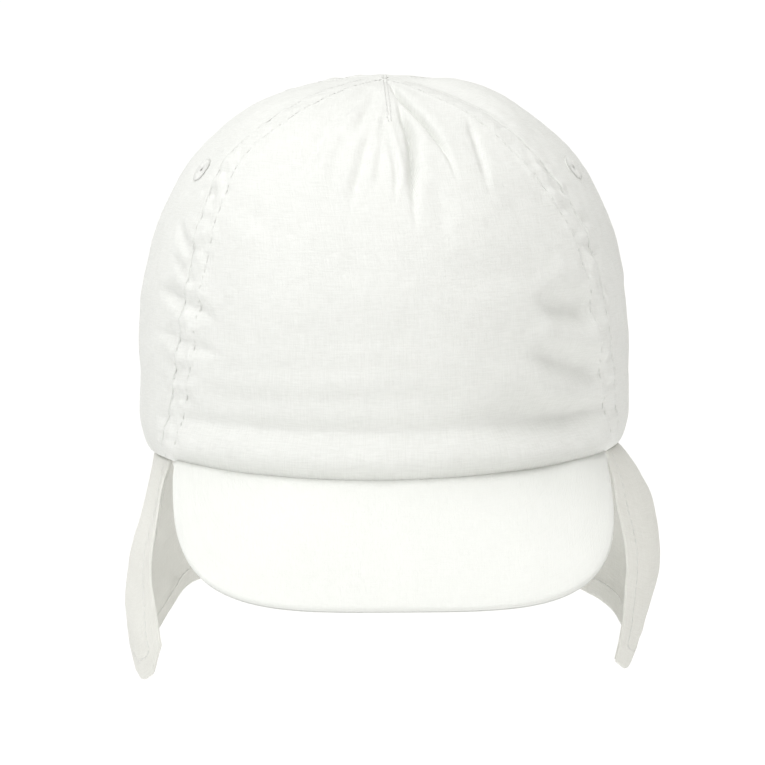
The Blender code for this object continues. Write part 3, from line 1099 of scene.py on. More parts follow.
@dataclass(frozen=True)
class CottonFinish:
    """Plain-woven white cotton.

    Attributes:
        name: the material's name.
        colour: the cloth's usual colour.
        shade: the colour between the threads, which is painted shade in the weave's hollows, and in worn
            patches.
        roughness: the surface roughness.
        sheen: the strength of the soft glow at grazing angles.
        pitch: the distance from thread to thread, in metres.
        weave_depth: the height of a thread over the gap beside it, in metres.
        slub_depth: the height of thick stretches of thread, in metres.
        crumple_depth: the height of the finest creases, in metres.
        wander: how many threads' pitches a thread strays.
        wander_scale: how many such strays a metre has.
        slub_scales: how many slubs a metre has along a thread and across the threads.
        patch_scale: how many worn patches a metre has.
        crease_scale: how many of the finest creases a metre has.
        tone_shares: how much the slubs, the weave and the patches change the colour; the weave's share is
            painted shade between the threads.
        tone_span: the tones at which the shade and the full colour are reached.
        specular: the strength of the reflection.
    """

    name: str
    colour: tuple[float, float, float] = (0.886, 0.894, 0.870)
    # the shade colour is painted shade between the threads, and the tone of slubs and worn patches
    shade: tuple[float, float, float] = (0.746, 0.753, 0.724)
    roughness: float = 0.92
    sheen: float = 0.06
    pitch: float = 0.00032
    weave_depth: float = 0.00004
    slub_depth: float = 0.00003
    crumple_depth: float = 0.00010
    wander: float = 0.9
    wander_scale: float = 260.0
    slub_scales: tuple[float, float] = (180.0, 2600.0)
    patch_scale: float = 38.0
    crease_scale: float = 210.0
    tone_shares: tuple[float, float, float] = (0.75, 0.45, 0.25)
    tone_span: tuple[float, float] = (0.46, 0.94)
    specular: float = 0.25

    def threads(self, graph: NodeGraph) -> tuple[bpy.types.NodeSocket, bpy.types.NodeSocket]:
        """The height of the weave and of its slubs, read from the cloth's own map.

        Args:
            graph: the material's nodes.

        Returns:
            The weave's height and the slubs' height, each from about 0 to 1.
        """
        cloth = graph.add("UVMap", {"uv_map": CLOTH_MAP}).outputs["UV"]
        flat_noise = {"noise_dimensions": "2D"}
        wander = graph.add("TexNoise", flat_noise, Vector=cloth, Scale=self.wander_scale, Detail=2.0)
        split = graph.add("SeparateXYZ", Vector=cloth)
        lines = []
        for axis in ("X", "Y"):
            counted = graph.math("MULTIPLY", split.outputs[axis], 1 / self.pitch)
            lines.append(graph.math("MULTIPLY_ADD", wander.outputs["Fac"], self.wander, counted))
        across, up = (
            graph.math("ABSOLUTE", graph.math("SINE", graph.math("MULTIPLY", line, math.pi)))
            for line in lines
        )
        cells = graph.math("ADD", graph.math("FLOOR", lines[0]), graph.math("FLOOR", lines[1]))
        over = graph.math("PINGPONG", cells, 1.0)
        warp = graph.math("MULTIPLY", across, graph.math("MULTIPLY_ADD", up, 0.5, 0.5))
        weft = graph.math("MULTIPLY", up, graph.math("MULTIPLY_ADD", across, 0.5, 0.5))
        weave = graph.blend(over, warp, weft)
        slubs = []
        along, aside = self.slub_scales
        for stretch in ((along, aside, 1.0), (aside, along, 1.0)):
            laid = graph.add("Mapping", Vector=cloth, Scale=stretch).outputs[0]
            noise = graph.add("TexNoise", flat_noise, Vector=laid, Scale=1.0, Detail=3.0, Roughness=0.6)
            slubs.append(noise.outputs["Fac"])
        return weave, graph.math("MULTIPLY", graph.math("ADD", *slubs), 0.5)

    def make(self) -> bpy.types.Material:
        """Makes the material.

        Returns:
            The finished material.
        """
        graph = NodeGraph(self.name)
        weave, slubs = self.threads(graph)
        place = graph.add("TexCoord").outputs["Object"]
        patches = graph.add("TexNoise", Vector=place, Scale=self.patch_scale, Detail=4.0, Roughness=0.6)
        creases = graph.add(
            "TexNoise", Vector=place, Scale=self.crease_scale, Detail=5.0, Roughness=0.55, Distortion=0.4
        )
        slub_share, weave_shade_share, patch_share = self.tone_shares
        # The weave darkens the colour between the threads: painted shade in the weave's hollows.
        tone = graph.math("MULTIPLY_ADD", slubs, slub_share, graph.math("MULTIPLY", weave, weave_shade_share))
        toned = graph.math("MULTIPLY_ADD", patches.outputs["Fac"], patch_share, tone)
        colours = graph.ramp(toned, self.tone_span, self.shade, self.colour)
        rough = graph.math("MULTIPLY_ADD", patches.outputs["Fac"], 0.10, self.roughness - 0.05)
        fine = graph.add("Bump", Height=weave, Distance=self.weave_depth, Strength=1.0)
        thick = graph.add(
            "Bump", Height=slubs, Distance=self.slub_depth * 8, Strength=0.6, Normal=fine.outputs[0]
        )
        soft = graph.add(
            "Bump",
            Height=creases.outputs["Fac"],
            Distance=self.crumple_depth * 4,
            Strength=0.5,
            Normal=thick.outputs[0],
        )
        graph.feed(graph.shader, "Base Color", colours)
        graph.feed(graph.shader, "Roughness", rough)
        graph.feed(graph.shader, "Normal", soft.outputs[0])
        graph.feed(graph.shader, "Sheen Weight", self.sheen)
        graph.feed(graph.shader, "Specular IOR Level", self.specular)
        return graph.material


@dataclass(frozen=True)
class ThreadFinish:
    """White sewing thread with its ply twist."""

    name: str
    colour: tuple[float, float, float] = (0.950, 0.955, 0.930)
    # shade: the colour in the ply's grooves, painted shade between the plies
    shade: tuple[float, float, float] = (0.895, 0.900, 0.870)
    roughness: float = 0.6
    sheen: float = 0.15
    twists: float = 5.0
    twist_depth: float = 0.00006
    tone_span: tuple[float, float] = (0.0, 0.55)
    fluff_scale: float = 2400.0

    def make(self) -> bpy.types.Material:
        """Makes the material.

        Returns:
            The finished material.
        """
        graph = NodeGraph(self.name)
        stitch = graph.add("UVMap", {"uv_map": THREAD_MAP}).outputs["UV"]
        turned = graph.add("Mapping", Vector=stitch, Rotation=(0.0, 0.0, 0.9))
        ply = graph.add("TexWave", Vector=turned.outputs[0], Scale=self.twists, Distortion=0.6, Detail=1.0)
        # The ply's grooves take the shade colour: painted shade between the plies.
        colours = graph.ramp(ply.outputs["Fac"], self.tone_span, self.shade, self.colour)
        place = graph.add("TexCoord").outputs["Object"]
        fluff = graph.add("TexNoise", Vector=place, Scale=self.fluff_scale, Detail=2.0)
        rough = graph.math("MULTIPLY_ADD", fluff.outputs["Fac"], 0.2, self.roughness - 0.1)
        bump = graph.add("Bump", Height=ply.outputs["Fac"], Distance=self.twist_depth, Strength=0.8)
        graph.feed(graph.shader, "Base Color", colours)
        graph.feed(graph.shader, "Roughness", rough)
        graph.feed(graph.shader, "Normal", bump.outputs[0])
        graph.feed(graph.shader, "Sheen Weight", self.sheen)
        return graph.material


@dataclass(frozen=True)
class FloorFinish:
    """The studio's plain pale floor."""

    name: str = "studio_floor"
    colour: tuple[float, float, float] = (0.99, 0.99, 0.99)
    roughness: float = 0.9

    def make(self) -> bpy.types.Material:
        """Makes the material, with a faint unevenness in its roughness.

        Returns:
            The finished material.
        """
        graph = NodeGraph(self.name)
        place = graph.add("TexCoord").outputs["Object"]
        worn = graph.add("TexNoise", Vector=place, Scale=3.0, Detail=3.0)
        rough = graph.math("MULTIPLY_ADD", worn.outputs["Fac"], 0.06, self.roughness - 0.03)
        graph.feed(graph.shader, "Base Color", (*self.colour, 1.0))
        graph.feed(graph.shader, "Roughness", rough)
        graph.feed(graph.shader, "Specular IOR Level", 0.0)
        return graph.material


@dataclass
class Wardrobe:
    """The finishes that every piece is dressed from, each made once."""

    cotton: bpy.types.Material
    peak_cotton: bpy.types.Material
    # a warmer copy of the cotton: painted warm shade on the flap
    flap_cotton: bpy.types.Material
    thread: bpy.types.Material

    @classmethod
    def make(cls) -> "Wardrobe":
        """Makes every finish.

        Returns:
            The finishes, ready to dress pieces with.
        """
        return cls(
            cotton=CottonFinish("cotton_poplin").make(),
            peak_cotton=CottonFinish(
                "peak_cotton",
                colour=(0.848, 0.858, 0.830),
                # its shade, painted shade between the threads and the tone of slubs and patches, lies near
                # its colour
                shade=(0.800, 0.810, 0.780),
                crumple_depth=0.00004,
            ).make(),
            # The flap's copy of the cotton is tinted warm: painted warm shade over the whole flap; its shade
            # colour is also the painted shade between the threads.
            flap_cotton=CottonFinish(
                "flap_cotton",
                colour=(0.880, 0.879, 0.835),
                shade=(0.752, 0.749, 0.702),
            ).make(),
            thread=ThreadFinish("sewing_thread").make(),
        )


def place_piece(piece: bpy.types.Object, slot: Slot, nodes: Sequence[str] = ()) -> None:
    """Fixes a finished piece to the cap's body.

    Args:
        piece: the piece, in place.
        slot: the piece's material slot; not used.
        nodes: the solids that it stands for.
    """
    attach(piece, BODY)
    if nodes:
        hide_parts(*nodes)
    log.info("%s: %d faces before its modifiers", piece.name, len(piece.data.polygons))


def to_mesh(name: str, shape: bmesh.types.BMesh) -> bpy.types.Mesh:
    """Turns a finished shape into a mesh of that name, and frees the shape.

    Args:
        name: the mesh's name.
        shape: the finished shape.

    Returns:
        The mesh.
    """
    mesh = bpy.data.meshes.new(name)
    shape.to_mesh(mesh)
    shape.free()
    return mesh


def link_mesh(name: str, mesh: bpy.types.Mesh, material: bpy.types.Material) -> bpy.types.Object:
    """Makes an object of a finished mesh, shaded smooth.

    Args:
        name: the object's name.
        mesh: its mesh, in place.
        material: its finish.

    Returns:
        The object, in the scene.
    """
    made = bpy.data.objects.new(name, mesh)
    bpy.context.scene.collection.objects.link(made)
    mesh.materials.append(material)
    mesh.shade_smooth()
    return made


@dataclass
class ClothSheet:
    """A cloth sheet: a grid whose columns and rows are laid on a surface.

    Attributes:
        name: the piece's name.
        columns: the places across, one for each column of the grid.
        rows: the places up, one for each row.
        surface: gives the coordinates at each pair of places.
        cloth_map: gives the flat position on the cloth, in metres, at each pair of places.
        across: the place across of each vertex, once the sheet is laid.
        up: the place up of each vertex.
    """

    name: str
    columns: Numbers
    rows: Numbers
    surface: Surface
    cloth_map: Surface

    def __post_init__(self) -> None:
        """Counts the grid's columns and rows."""
        self.width, self.height = len(self.columns), len(self.rows)

    def places(self, mesh: bpy.types.Mesh) -> tuple[Numbers, Numbers]:
        """Where each vertex of a fresh grid goes.

        Args:
            mesh: the grid, flat and two units wide.

        Returns:
            The place across and the place up of each vertex.
        """
        flat = np.empty(len(mesh.vertices) * 3)
        mesh.vertices.foreach_get("co", flat)
        flat = flat.reshape(-1, 3)
        column = np.rint((flat[:, 0] + 1) / 2 * (self.width - 1)).astype(int)
        row = np.rint((flat[:, 1] + 1) / 2 * (self.height - 1)).astype(int)
        return self.columns[column], self.rows[row]

    def lay(self, material: bpy.types.Material) -> bpy.types.Object:
        """Makes the sheet as an object with its cloth map.

        Args:
            material: the cloth's finish.

        Returns:
            The sheet, without its thickness.
        """
        grid = bmesh.new()
        bmesh.ops.create_grid(grid, x_segments=self.width - 1, y_segments=self.height - 1, size=1.0)
        mesh = to_mesh(self.name, grid)
        self.across, self.up = self.places(mesh)
        points = self.surface(self.across, self.up)
        mesh.vertices.foreach_set("co", points.astype(np.float32).ravel())
        corner = np.empty(len(mesh.loops), dtype=np.int32)
        mesh.loops.foreach_get("vertex_index", corner)
        flat = self.cloth_map(self.across, self.up)[corner]
        mesh.uv_layers.new(name=CLOTH_MAP)
        mesh.uv_layers[CLOTH_MAP].data.foreach_set("uv", flat.astype(np.float32).ravel())
        mesh.update()
        return link_mesh(self.name, mesh, material)


def thicken(piece: bpy.types.Object, thickness: float, wall: Wall, shares: Numbers) -> None:
    """Gives a sheet its wall.

    Args:
        piece: the sheet.
        thickness: the wall's full thickness, in metres.
        wall: the side of the sheet on which the wall lies.
        shares: the share of the full thickness at each vertex.
    """
    group = piece.vertex_groups.new(name="thickness")
    group.add(np.flatnonzero(shares >= 0.9995).tolist(), 1.0, "REPLACE")
    for index in np.flatnonzero(shares < 0.9995).tolist():
        group.add([index], float(shares[index]), "REPLACE")
    solid = piece.modifiers.new("wall", "SOLIDIFY")
    solid.thickness = thickness
    solid.offset = wall.value
    solid.vertex_group = group.name


@dataclass(frozen=True)
class Topstitching:
    """Machine stitches in one kind of thread.

    Attributes:
        width: the thread's width as it lies, in metres.
        height: the thread's height as it lies, in metres.
        lift: how far a stitch's middle lies off the cloth.
        jitter: how far a stitch strays from its row.
        seed: picks the strays.
    """

    width: float = 0.00044
    height: float = 0.00028
    lift: float = 0.00005
    jitter: float = 0.00006
    seed: int = 40

    def template(self) -> bpy.types.Mesh:
        """One stitch along X, one unit long, with its own thread map.

        Returns:
            The stitch's mesh.
        """
        stitch = bmesh.new()
        bmesh.ops.create_uvsphere(stitch, u_segments=8, v_segments=6, radius=0.5)
        turn = Matrix.Rotation(math.pi / 2, 3, "Y")
        bmesh.ops.rotate(stitch, verts=stitch.verts, cent=(0, 0, 0), matrix=turn)
        layer = stitch.loops.layers.uv.new(THREAD_MAP)
        for face in stitch.faces:
            for corner in face.loops:
                place = corner.vert.co
                corner[layer].uv = (place.x, math.atan2(place.y, place.z) / (2 * math.pi))
        return to_mesh("stitch", stitch)

    def sew(self, name: str, rows: Iterable[StitchRow], cloth: Cloth, material: bpy.types.Material) -> None:
        """Makes the stitches of one or more rows as one piece.

        Args:
            name: the piece's name.
            rows: the rows.
            cloth: the surface that they lie on.
            material: the thread's finish.
        """
        draw = np.random.default_rng(self.seed)
        template = self.template()
        sewn = bmesh.new()
        for row in rows:
            for start, end, normal in zip(*row.ends(cloth)):
                run = Vector(end - start)
                up = Vector(normal)
                ahead = (run - up * run.dot(up)).normalized()
                aside = up.cross(ahead)
                middle = Vector(start + end) / 2
                centre = middle + up * self.lift + aside * draw.normal(0, self.jitter)
                turn = Matrix((ahead, aside, up)).transposed().to_4x4()
                length = run.length * draw.uniform(0.98, 1.06)
                size = Matrix.Diagonal((length, self.width, self.height, 1.0))
                stitch = template.copy()
                stitch.transform(Matrix.Translation(centre) @ turn @ size)
                sewn.from_mesh(stitch)
                bpy.data.meshes.remove(stitch)
        bpy.data.meshes.remove(template)
        place_piece(link_mesh(name, to_mesh(name, sewn), material), Slot.THREAD)


@dataclass
class CrownPanel:
    """One cut piece of the crown between two seams.

    Attributes:
        node: the solid that it stands for.
        first: gives the azimuth of the seam at its first edge.
        last: gives the azimuth of the seam at its last edge.
        width: its width at the rim, in metres.
        crown: the surface that it is cut from.
        edge: how far in from each seam its columns are close.
        fine: the step between those columns.
        coarse: the step between the others.
    """

    node: str
    first: Callable[[Numbers], Numbers]
    last: Callable[[Numbers], Numbers]
    width: float
    crown: CrownCloth
    edge: float = 0.0085
    fine: float = 0.00055
    coarse: float = 0.00105
    row_step: float = 0.00080
    cloth: float = 0.0009

    def place(self, across: Numbers, share: Numbers) -> tuple[Numbers, Numbers]:
        """The azimuth and the share of each place on the panel."""
        first, last = self.first(share), self.last(share)
        return first + (last - first) * across, share

    def point(self, across: Numbers, share: Numbers) -> Numbers:
        """The panel's outer face."""
        return self.crown.point(*self.place(across, share))

    def flat(self, across: Numbers, share: Numbers) -> Numbers:
        """The place on the flat cut cloth.

        Args:
            across: the places across the panel.
            share: the places' shares.

        Returns:
            The distances from the cloth's middle line and from its lower edge, in metres.
        """
        azimuth, _ = self.place(across, share)
        middle, _ = self.place(np.full_like(across, 0.5), share)
        aside = np.radians(azimuth - middle) * self.crown.form.spread(middle, share)
        return np.column_stack([aside, share * self.crown.form.length])

    def build(self, wardrobe: Wardrobe, hole: tuple[Numbers, float] | None = None) -> None:
        """Makes the panel.

        Args:
            wardrobe: the finishes.
            hole: the centre and the radius of an eyelet's hole, if the panel has one.
        """
        rows = steps_from_fold(self.crown.form.length, self.row_step)
        columns = crowded_steps(self.width, self.edge, self.fine, self.coarse)
        sheet = ClothSheet(self.node + "_cloth", columns, rows, self.point, self.flat)
        panel = sheet.lay(wardrobe.cotton)
        folded = nose(sheet.up * self.crown.form.length, self.crown.fold_half)
        thicken(panel, self.cloth, Wall.INWARD, folded)
        if hole is not None:
            self.cut_hole(panel, *hole)
        place_piece(panel, Slot.COTTON, [self.node])
        self.crown.form.length + 2 * SEAM_ALLOWANCE

    def cut_hole(self, panel: bpy.types.Object, centre: Numbers, radius: float) -> None:
        """Opens the cloth inside an eyelet's ring.

        Args:
            panel: the panel.
            centre: the middle of the hole.
            radius: the hole's radius, in metres.
        """
        cut = bmesh.new()
        cut.from_mesh(panel.data)
        middle = Vector(centre)
        inside = [face for face in cut.faces if (face.calc_center_median() - middle).length < radius]
        bmesh.ops.delete(cut, geom=inside, context="FACES")
        cut.to_mesh(panel.data)
        cut.free()


@dataclass
class Eyelet:
    """An embroidered eyelet: a ring worked over with satin stitches round an open hole.

    Attributes:
        azimuth: its place round the crown, in degrees from the front.
        share: its place up the crown.
        hole: the hole's radius, in metres.
        radius: the ring's outer radius.
        ring_height: how high the padding stands.
        thread: the thread's width.
        padding: the padding's width as a share of the ring's.
        sink: how deep the padding lies, as a share of its height.
        rise: how high the stitches lie, as a share of that height.
        overlap: the stitches' length as a share of the ring's width.
        flatness: the thread's height as a share of its width.
    """

    side: Side
    crown: CrownCloth
    azimuth: float = 66.0
    share: float = 0.565
    hole: float = 0.0007
    radius: float = 0.0039
    stitches: int = 44
    ring_height: float = 0.00046
    thread: float = 0.00066
    padding: float = 0.92
    sink: float = 0.45
    rise: float = 0.42
    overlap: float = 1.12
    flatness: float = 0.95

    @property
    def name(self) -> str:
        """The name of the solid that the eyelet stands for."""
        return f"eyelet_{self.side.name.lower()}"

    def centre(self) -> tuple[Numbers, Numbers]:
        """Where the eyelet lies.

        Returns:
            Its middle on the cloth and the direction out of the cloth.
        """
        azimuth = np.array([self.azimuth * self.side.value])
        share = np.array([self.share])
        return self.crown.point(azimuth, share)[0], self.crown.form.normal(azimuth, share)[0]

    def build(self, wardrobe: Wardrobe) -> None:
        """Makes the padded ring and its satin stitches as one piece.

        Args:
            wardrobe: the finishes.
        """
        worked = bmesh.new()
        middle = (self.hole + self.radius) / 2
        half = (self.radius - self.hole) / 2
        bmesh.ops.create_circle(worked, segments=10, radius=1.0)
        bmesh.ops.scale(worked, verts=worked.verts, vec=(half * self.padding, self.ring_height, 1.0))
        upright = Matrix.Rotation(math.pi / 2, 3, "X")
        bmesh.ops.rotate(worked, verts=worked.verts, cent=(0, 0, 0), matrix=upright)
        bmesh.ops.translate(worked, verts=worked.verts, vec=(middle, 0, -self.ring_height * self.sink))
        bmesh.ops.spin(
            worked,
            geom=worked.verts[:] + worked.edges[:],
            axis=(0, 0, 1),
            cent=(0, 0, 0),
            angle=2 * math.pi,
            steps=40,
            use_merge=True,
        )
        bmesh.ops.remove_doubles(worked, verts=worked.verts, dist=1e-6)
        bmesh.ops.recalc_face_normals(worked, faces=worked.faces)
        stitch = Topstitching().template()
        for step in range(self.stitches):
            turn = Matrix.Rotation(2 * math.pi * step / self.stitches, 4, "Z")
            size = Matrix.Diagonal((2 * half * self.overlap, self.thread, self.thread * self.flatness, 1.0))
            lifted = Matrix.Translation((middle, 0, self.ring_height * self.rise))
            placed = stitch.copy()
            placed.transform(turn @ lifted @ size)
            worked.from_mesh(placed)
            bpy.data.meshes.remove(placed)
        centre, out = self.centre()
        facing = Vector(out).to_track_quat("Z", "Y").to_matrix().to_4x4()
        bmesh.ops.transform(worked, matrix=Matrix.Translation(Vector(centre)) @ facing, verts=worked.verts)
        bpy.data.meshes.remove(stitch)
        name = self.name + "_worked"
        place_piece(link_mesh(name, to_mesh(name, worked), wardrobe.thread), Slot.THREAD, [self.name])


@dataclass
class Crown:
    """The five-panel crown with its topstitching and eyelets."""

    cloth: CrownCloth = field(default_factory=CrownCloth)
    dart_aside: tuple[float, float] = (-0.00046, 0.00046)
    dart_shares: tuple[float, float] = (0.690, 0.955)
    dart_azimuths: tuple[float, float] = (-0.3, -2.0)
    dart_pitch: float = 0.0017
    hole_margin: float = 0.0008

    def build(self, wardrobe: Wardrobe) -> None:
        """Makes every piece of the crown.

        Args:
            wardrobe: the finishes.
        """
        eyelets = {side: Eyelet(side, self.cloth) for side in Side}
        for eyelet in eyelets.values():
            eyelet.build(wardrobe)
        for panel, side in self.panels():
            hole = None
            if side is not None:
                hole = (eyelets[side].centre()[0], eyelets[side].hole + self.hole_margin)
            panel.build(wardrobe, hole)
        self.topstitch(wardrobe)

    def panels(self) -> list[tuple[CrownPanel, Side | None]]:
        """The five panels.

        Returns:
            Each panel, with the side of its eyelet if it has one.
        """
        right, left = FRONT_RIGHT_SEAM.azimuth, FRONT_LEFT_SEAM.azimuth
        back_right, back_left = BACK_RIGHT_SEAM.azimuth, BACK_LEFT_SEAM.azimuth

        def centre_from_right(share: Numbers) -> Numbers:
            """The centre back seam's azimuth, counted round the wearer's right."""
            return CENTRE_BACK_SEAM.azimuth(share) - 360

        centre = CENTRE_BACK_SEAM.azimuth
        return [
            (CrownPanel("front_panel", right, left, 0.180, self.cloth, coarse=0.00095), None),
            (CrownPanel("side_panel_left", left, back_left, 0.068, self.cloth), Side.LEFT),
            (CrownPanel("side_panel_right", back_right, right, 0.072, self.cloth), Side.RIGHT),
            (CrownPanel("back_panel_left", back_left, centre, 0.092, self.cloth), None),
            (CrownPanel("back_panel_right", centre_from_right, back_right, 0.092, self.cloth), None),
        ]

    def topstitch(self, wardrobe: Wardrobe) -> None:
        """Sews the rows beside every seam and along the centre-front dart.

        Args:
            wardrobe: the finishes.
        """
        for seam in self.cloth.seams:
            rows = seam.stitch_rows(self.cloth.form)
            sewing = Topstitching(seed=40 + seam.seed)
            sewing.sew(f"topstitch_{seam.name}", rows, self.cloth, wardrobe.thread)
        fine = Topstitching(width=0.00034, height=0.0002, lift=0.00004)
        fine.sew("topstitch_dart", self.dart_rows(), self.cloth, wardrobe.thread)

    def dart_rows(self) -> list[StitchRow]:
        """The two short rows along the centre-front dart.

        Returns:
            A row on each side of the dart.
        """
        share = np.linspace(self.dart_shares[1], self.dart_shares[0], 60)
        azimuth = np.interp(share, self.dart_shares, self.dart_azimuths)
        spread = self.cloth.form.spread(azimuth, share)
        along = (self.dart_shares[1] - share) * self.cloth.form.length
        return [
            StitchRow(azimuth + np.degrees(aside / spread), share, along, self.dart_pitch)
            for aside in self.dart_aside
        ]


@dataclass
class PeakForm:
    """The surface between the peak's two covers.

    Places across run from 0 at the wearer's right to 1 at the left, and places up from 0 at the
    outer edge to 1 at the crown's seam.

    Attributes:
        spread: how far round the rim it is sewn to each side of the front, in degrees.
        reach: how far it stands out in front of the rim.
        drop: how far its front edge lies below the rim.
        side: how far behind its sewn ends its sides would meet.
        squareness: the power of its outline, 2 for an oval and more for squarer corners.
        drop_power: how the drop grows from the sides to the front.
        camber: how far it swells between the seam and the edge.
        below_crown: how far below the crown's seam it is sewn.
        beyond_rim: how far outside the crown's seam it is sewn.
        corner_rise: how much its sewn ends are drawn up.
        corner_span: the shares of the half width between which they are drawn up.
        slack: the cloth's unevenness.
        steps: how far aside its tangents are taken.
    """

    rim: Rim = field(default_factory=Rim)
    spread: float = 61.5
    reach: float = 0.0420
    drop: float = 0.0321
    half_width: float = 0.0640
    side: float = 0.0060
    squareness: float = 3.8
    drop_power: float = 1.1
    camber: float = 0.0025
    below_crown: float = 0.00045
    beyond_rim: float = 0.0012
    corner_rise: float = 0.0009
    corner_span: tuple[float, float] = (0.55, 0.95)
    slack: Ripple = Ripple(seed=61, height=0.00010, shortest=0.014, longest=0.040, count=12)
    steps: tuple[float, float] = (0.01, 0.01)

    @cached_property
    def outline(self) -> dict[str, Numbers | float]:
        """The peak's outer edge.

        Returns:
            Lists by name: each step's share of the length and its coordinates, with the whole
            length.
        """
        turn = np.linspace(-math.pi / 2, math.pi / 2, 1601)
        forward = np.abs(np.cos(turn)) ** (2 / self.squareness)
        sideways = np.sign(turn) * np.abs(np.sin(turn)) ** (2 / self.squareness)
        side_end = self.rim.point(np.array([self.spread]))[0, 1] - self.side
        x = self.half_width * sideways
        y = side_end + (-self.rim.front - self.reach - side_end) * forward
        z = -self.drop * forward**self.drop_power - self.below_crown
        length = np.concatenate([[0], np.cumsum(np.hypot(np.diff(x), np.diff(y)))])
        return {"share": length / length[-1], "x": x, "y": y, "z": z, "length": float(length[-1])}

    def smooth(self, across: Numbers, up: Numbers) -> Numbers:
        """Points of the surface without its unevenness.

        Args:
            across: the places across the peak.
            up: the places up to the seam.

        Returns:
            The points, one row each.
        """
        across = np.clip(across, 0, 1)
        azimuth = (2 * across - 1) * self.spread
        seam = self.rim.point(azimuth) + self.rim.outward(azimuth) * self.beyond_rim
        seam[:, 2] += self.corner_rise * ease(np.abs(2 * across - 1), *self.corner_span) - self.below_crown
        edge = np.column_stack(
            [np.interp(across, self.outline["share"], self.outline[axis]) for axis in "xyz"]
        )
        place = edge + (seam - edge) * up[:, None]
        place[:, 2] += self.camber * 4 * up * (1 - up) * (seam[:, 2] - edge[:, 2]) / self.drop
        return place

    def normal(self, across: Numbers, up: Numbers) -> Numbers:
        """The direction out of the peak's top at each pair of places."""
        return surface_normal(self.smooth, across, up, self.steps)

    def point(self, across: Numbers, up: Numbers) -> Numbers:
        """Points of the surface.

        Args:
            across: the places across the peak.
            up: the places up to the seam.

        Returns:
            The points, one row each.
        """
        smooth = self.smooth(across, up)
        held = ease(up, 0, 0.15) * (1 - ease(up, 0.8, 1.0))
        return smooth + self.normal(across, up) * (self.slack.over(smooth) * held)[:, None]

    def from_edge(self, across: Numbers, up: Numbers) -> Numbers:
        """How far each place lies from the outer edge, in metres."""
        return np.linalg.norm(self.smooth(across, up) - self.smooth(across, np.zeros_like(up)), axis=1)


@dataclass
class Peak:
    """The short peak: two covers sewn together at the outer edge and turned.

    Attributes:
        half_gap: half the gap between the covers at the sewn ends.
        edge_gap: how much wider half the gap is away from them.
        gap_span: the places across between which it widens.
        edge_share: the share of the thickness that is left along the outer edge.
        edge_reach: how far in the full thickness is reached.
        fold_half: how far in the turned edge is rounded.
        flat_size: each cover's size as cut; not used.
    """

    form: PeakForm = field(default_factory=PeakForm)
    column_step: float = 0.00090
    row_step: float = 0.00085
    half_gap: float = 0.00003
    edge_gap: float = 0.00010
    gap_span: tuple[float, float] = (0.04, 0.12)
    top_thickness: float = 0.0014
    under_thickness: float = 0.0011
    edge_share: float = 0.60
    edge_reach: float = 0.0042
    fold_half: float = 0.00080
    flat_size: tuple[float, float] = (0.150, 0.062)

    def build(self, wardrobe: Wardrobe) -> None:
        """Makes both covers of the peak."""
        self.cover("peak_top_cover", self.top_thickness, Wall.OUTWARD, wardrobe)
        self.cover("peak_under_cover", self.under_thickness, Wall.INWARD, wardrobe)

    def cover(self, node: str, thickness: float, wall: Wall, wardrobe: Wardrobe) -> None:
        """Makes one cover.

        Args:
            node: the solid that it stands for.
            thickness: its padded thickness away from the edge, in metres.
            wall: the side of the surface that it lies on.
            wardrobe: the finishes.
        """

        def surface(across: Numbers, up: Numbers) -> Numbers:
            """The cover's sewn face, a hair off the surface between the two covers."""
            gap = self.half_gap + self.edge_gap * ease(np.minimum(across, 1 - across), *self.gap_span)
            return self.form.point(across, up) + self.form.normal(across, up) * wall.value * gap[:, None]

        def flat(across: Numbers, up: Numbers) -> Numbers:
            """The place on the flat cut cover, in metres."""
            place = self.form.smooth(across, up)
            return np.column_stack([place[:, 0], self.form.from_edge(across, up)])

        length = self.form.outline["length"]
        columns = steps_from_fold(length, self.column_step, both=True)
        rows = steps_from_fold(self.form.reach, self.row_step)
        sheet = ClothSheet(node + "_cloth", columns, rows, surface, flat)
        made = sheet.lay(wardrobe.peak_cotton)
        depth = self.form.from_edge(sheet.across, sheet.up)
        aside = np.minimum(sheet.across, 1 - sheet.across) * length
        padded = self.edge_share + (1 - self.edge_share) * np.sqrt(ease(depth, -0.001, self.edge_reach))
        rounded = nose(np.minimum(depth, aside), self.fold_half)
        thicken(made, thickness, wall, padded * rounded)
        place_piece(made, Slot.COTTON, [node])


@dataclass(frozen=True)
class FlapStation:
    """The flap's hanging line at a share of its run, from its left front edge to its right one.

    Attributes:
        share: the share of the run.
        bulge: how far it stands out at its fullest, as a share of the flare.
        bulge_at: the share of the drop at which it is fullest.
        hem: how far the hem stands out, as a share of the flare.
        drop: its length, as a share of the usual drop.
    """

    share: float
    bulge: float
    bulge_at: float
    hem: float
    drop: float


FLAP_STATIONS = (
    FlapStation(0.000, 0.50, 0.48, 0.26, 0.95),
    FlapStation(0.033, 0.85, 0.45, 0.34, 1.01),
    FlapStation(0.073, 1.02, 0.43, 0.42, 1.01),
    FlapStation(0.109, 1.08, 0.43, 0.48, 0.98),
    FlapStation(0.162, 1.00, 0.46, 0.60, 0.91),
    FlapStation(0.256, 0.75, 0.60, 0.85, 0.82),
    FlapStation(0.367, 0.75, 0.70, 1.05, 0.81),
    FlapStation(0.500, 0.85, 0.75, 1.30, 0.83),
    FlapStation(0.633, 0.75, 0.70, 1.05, 0.78),
    FlapStation(0.725, 0.66, 0.60, 0.84, 0.79),
    FlapStation(0.775, 0.66, 0.60, 0.72, 0.93),
    FlapStation(0.838, 0.68, 0.60, 0.60, 0.99),
    FlapStation(0.891, 0.72, 0.62, 0.48, 0.98),
    FlapStation(0.927, 0.70, 0.60, 0.42, 1.01),
    FlapStation(0.971, 0.56, 0.53, 0.38, 1.00),
    FlapStation(0.986, 0.50, 0.50, 0.29, 0.955),
    FlapStation(1.000, 0.44, 0.48, 0.20, 0.83),
)


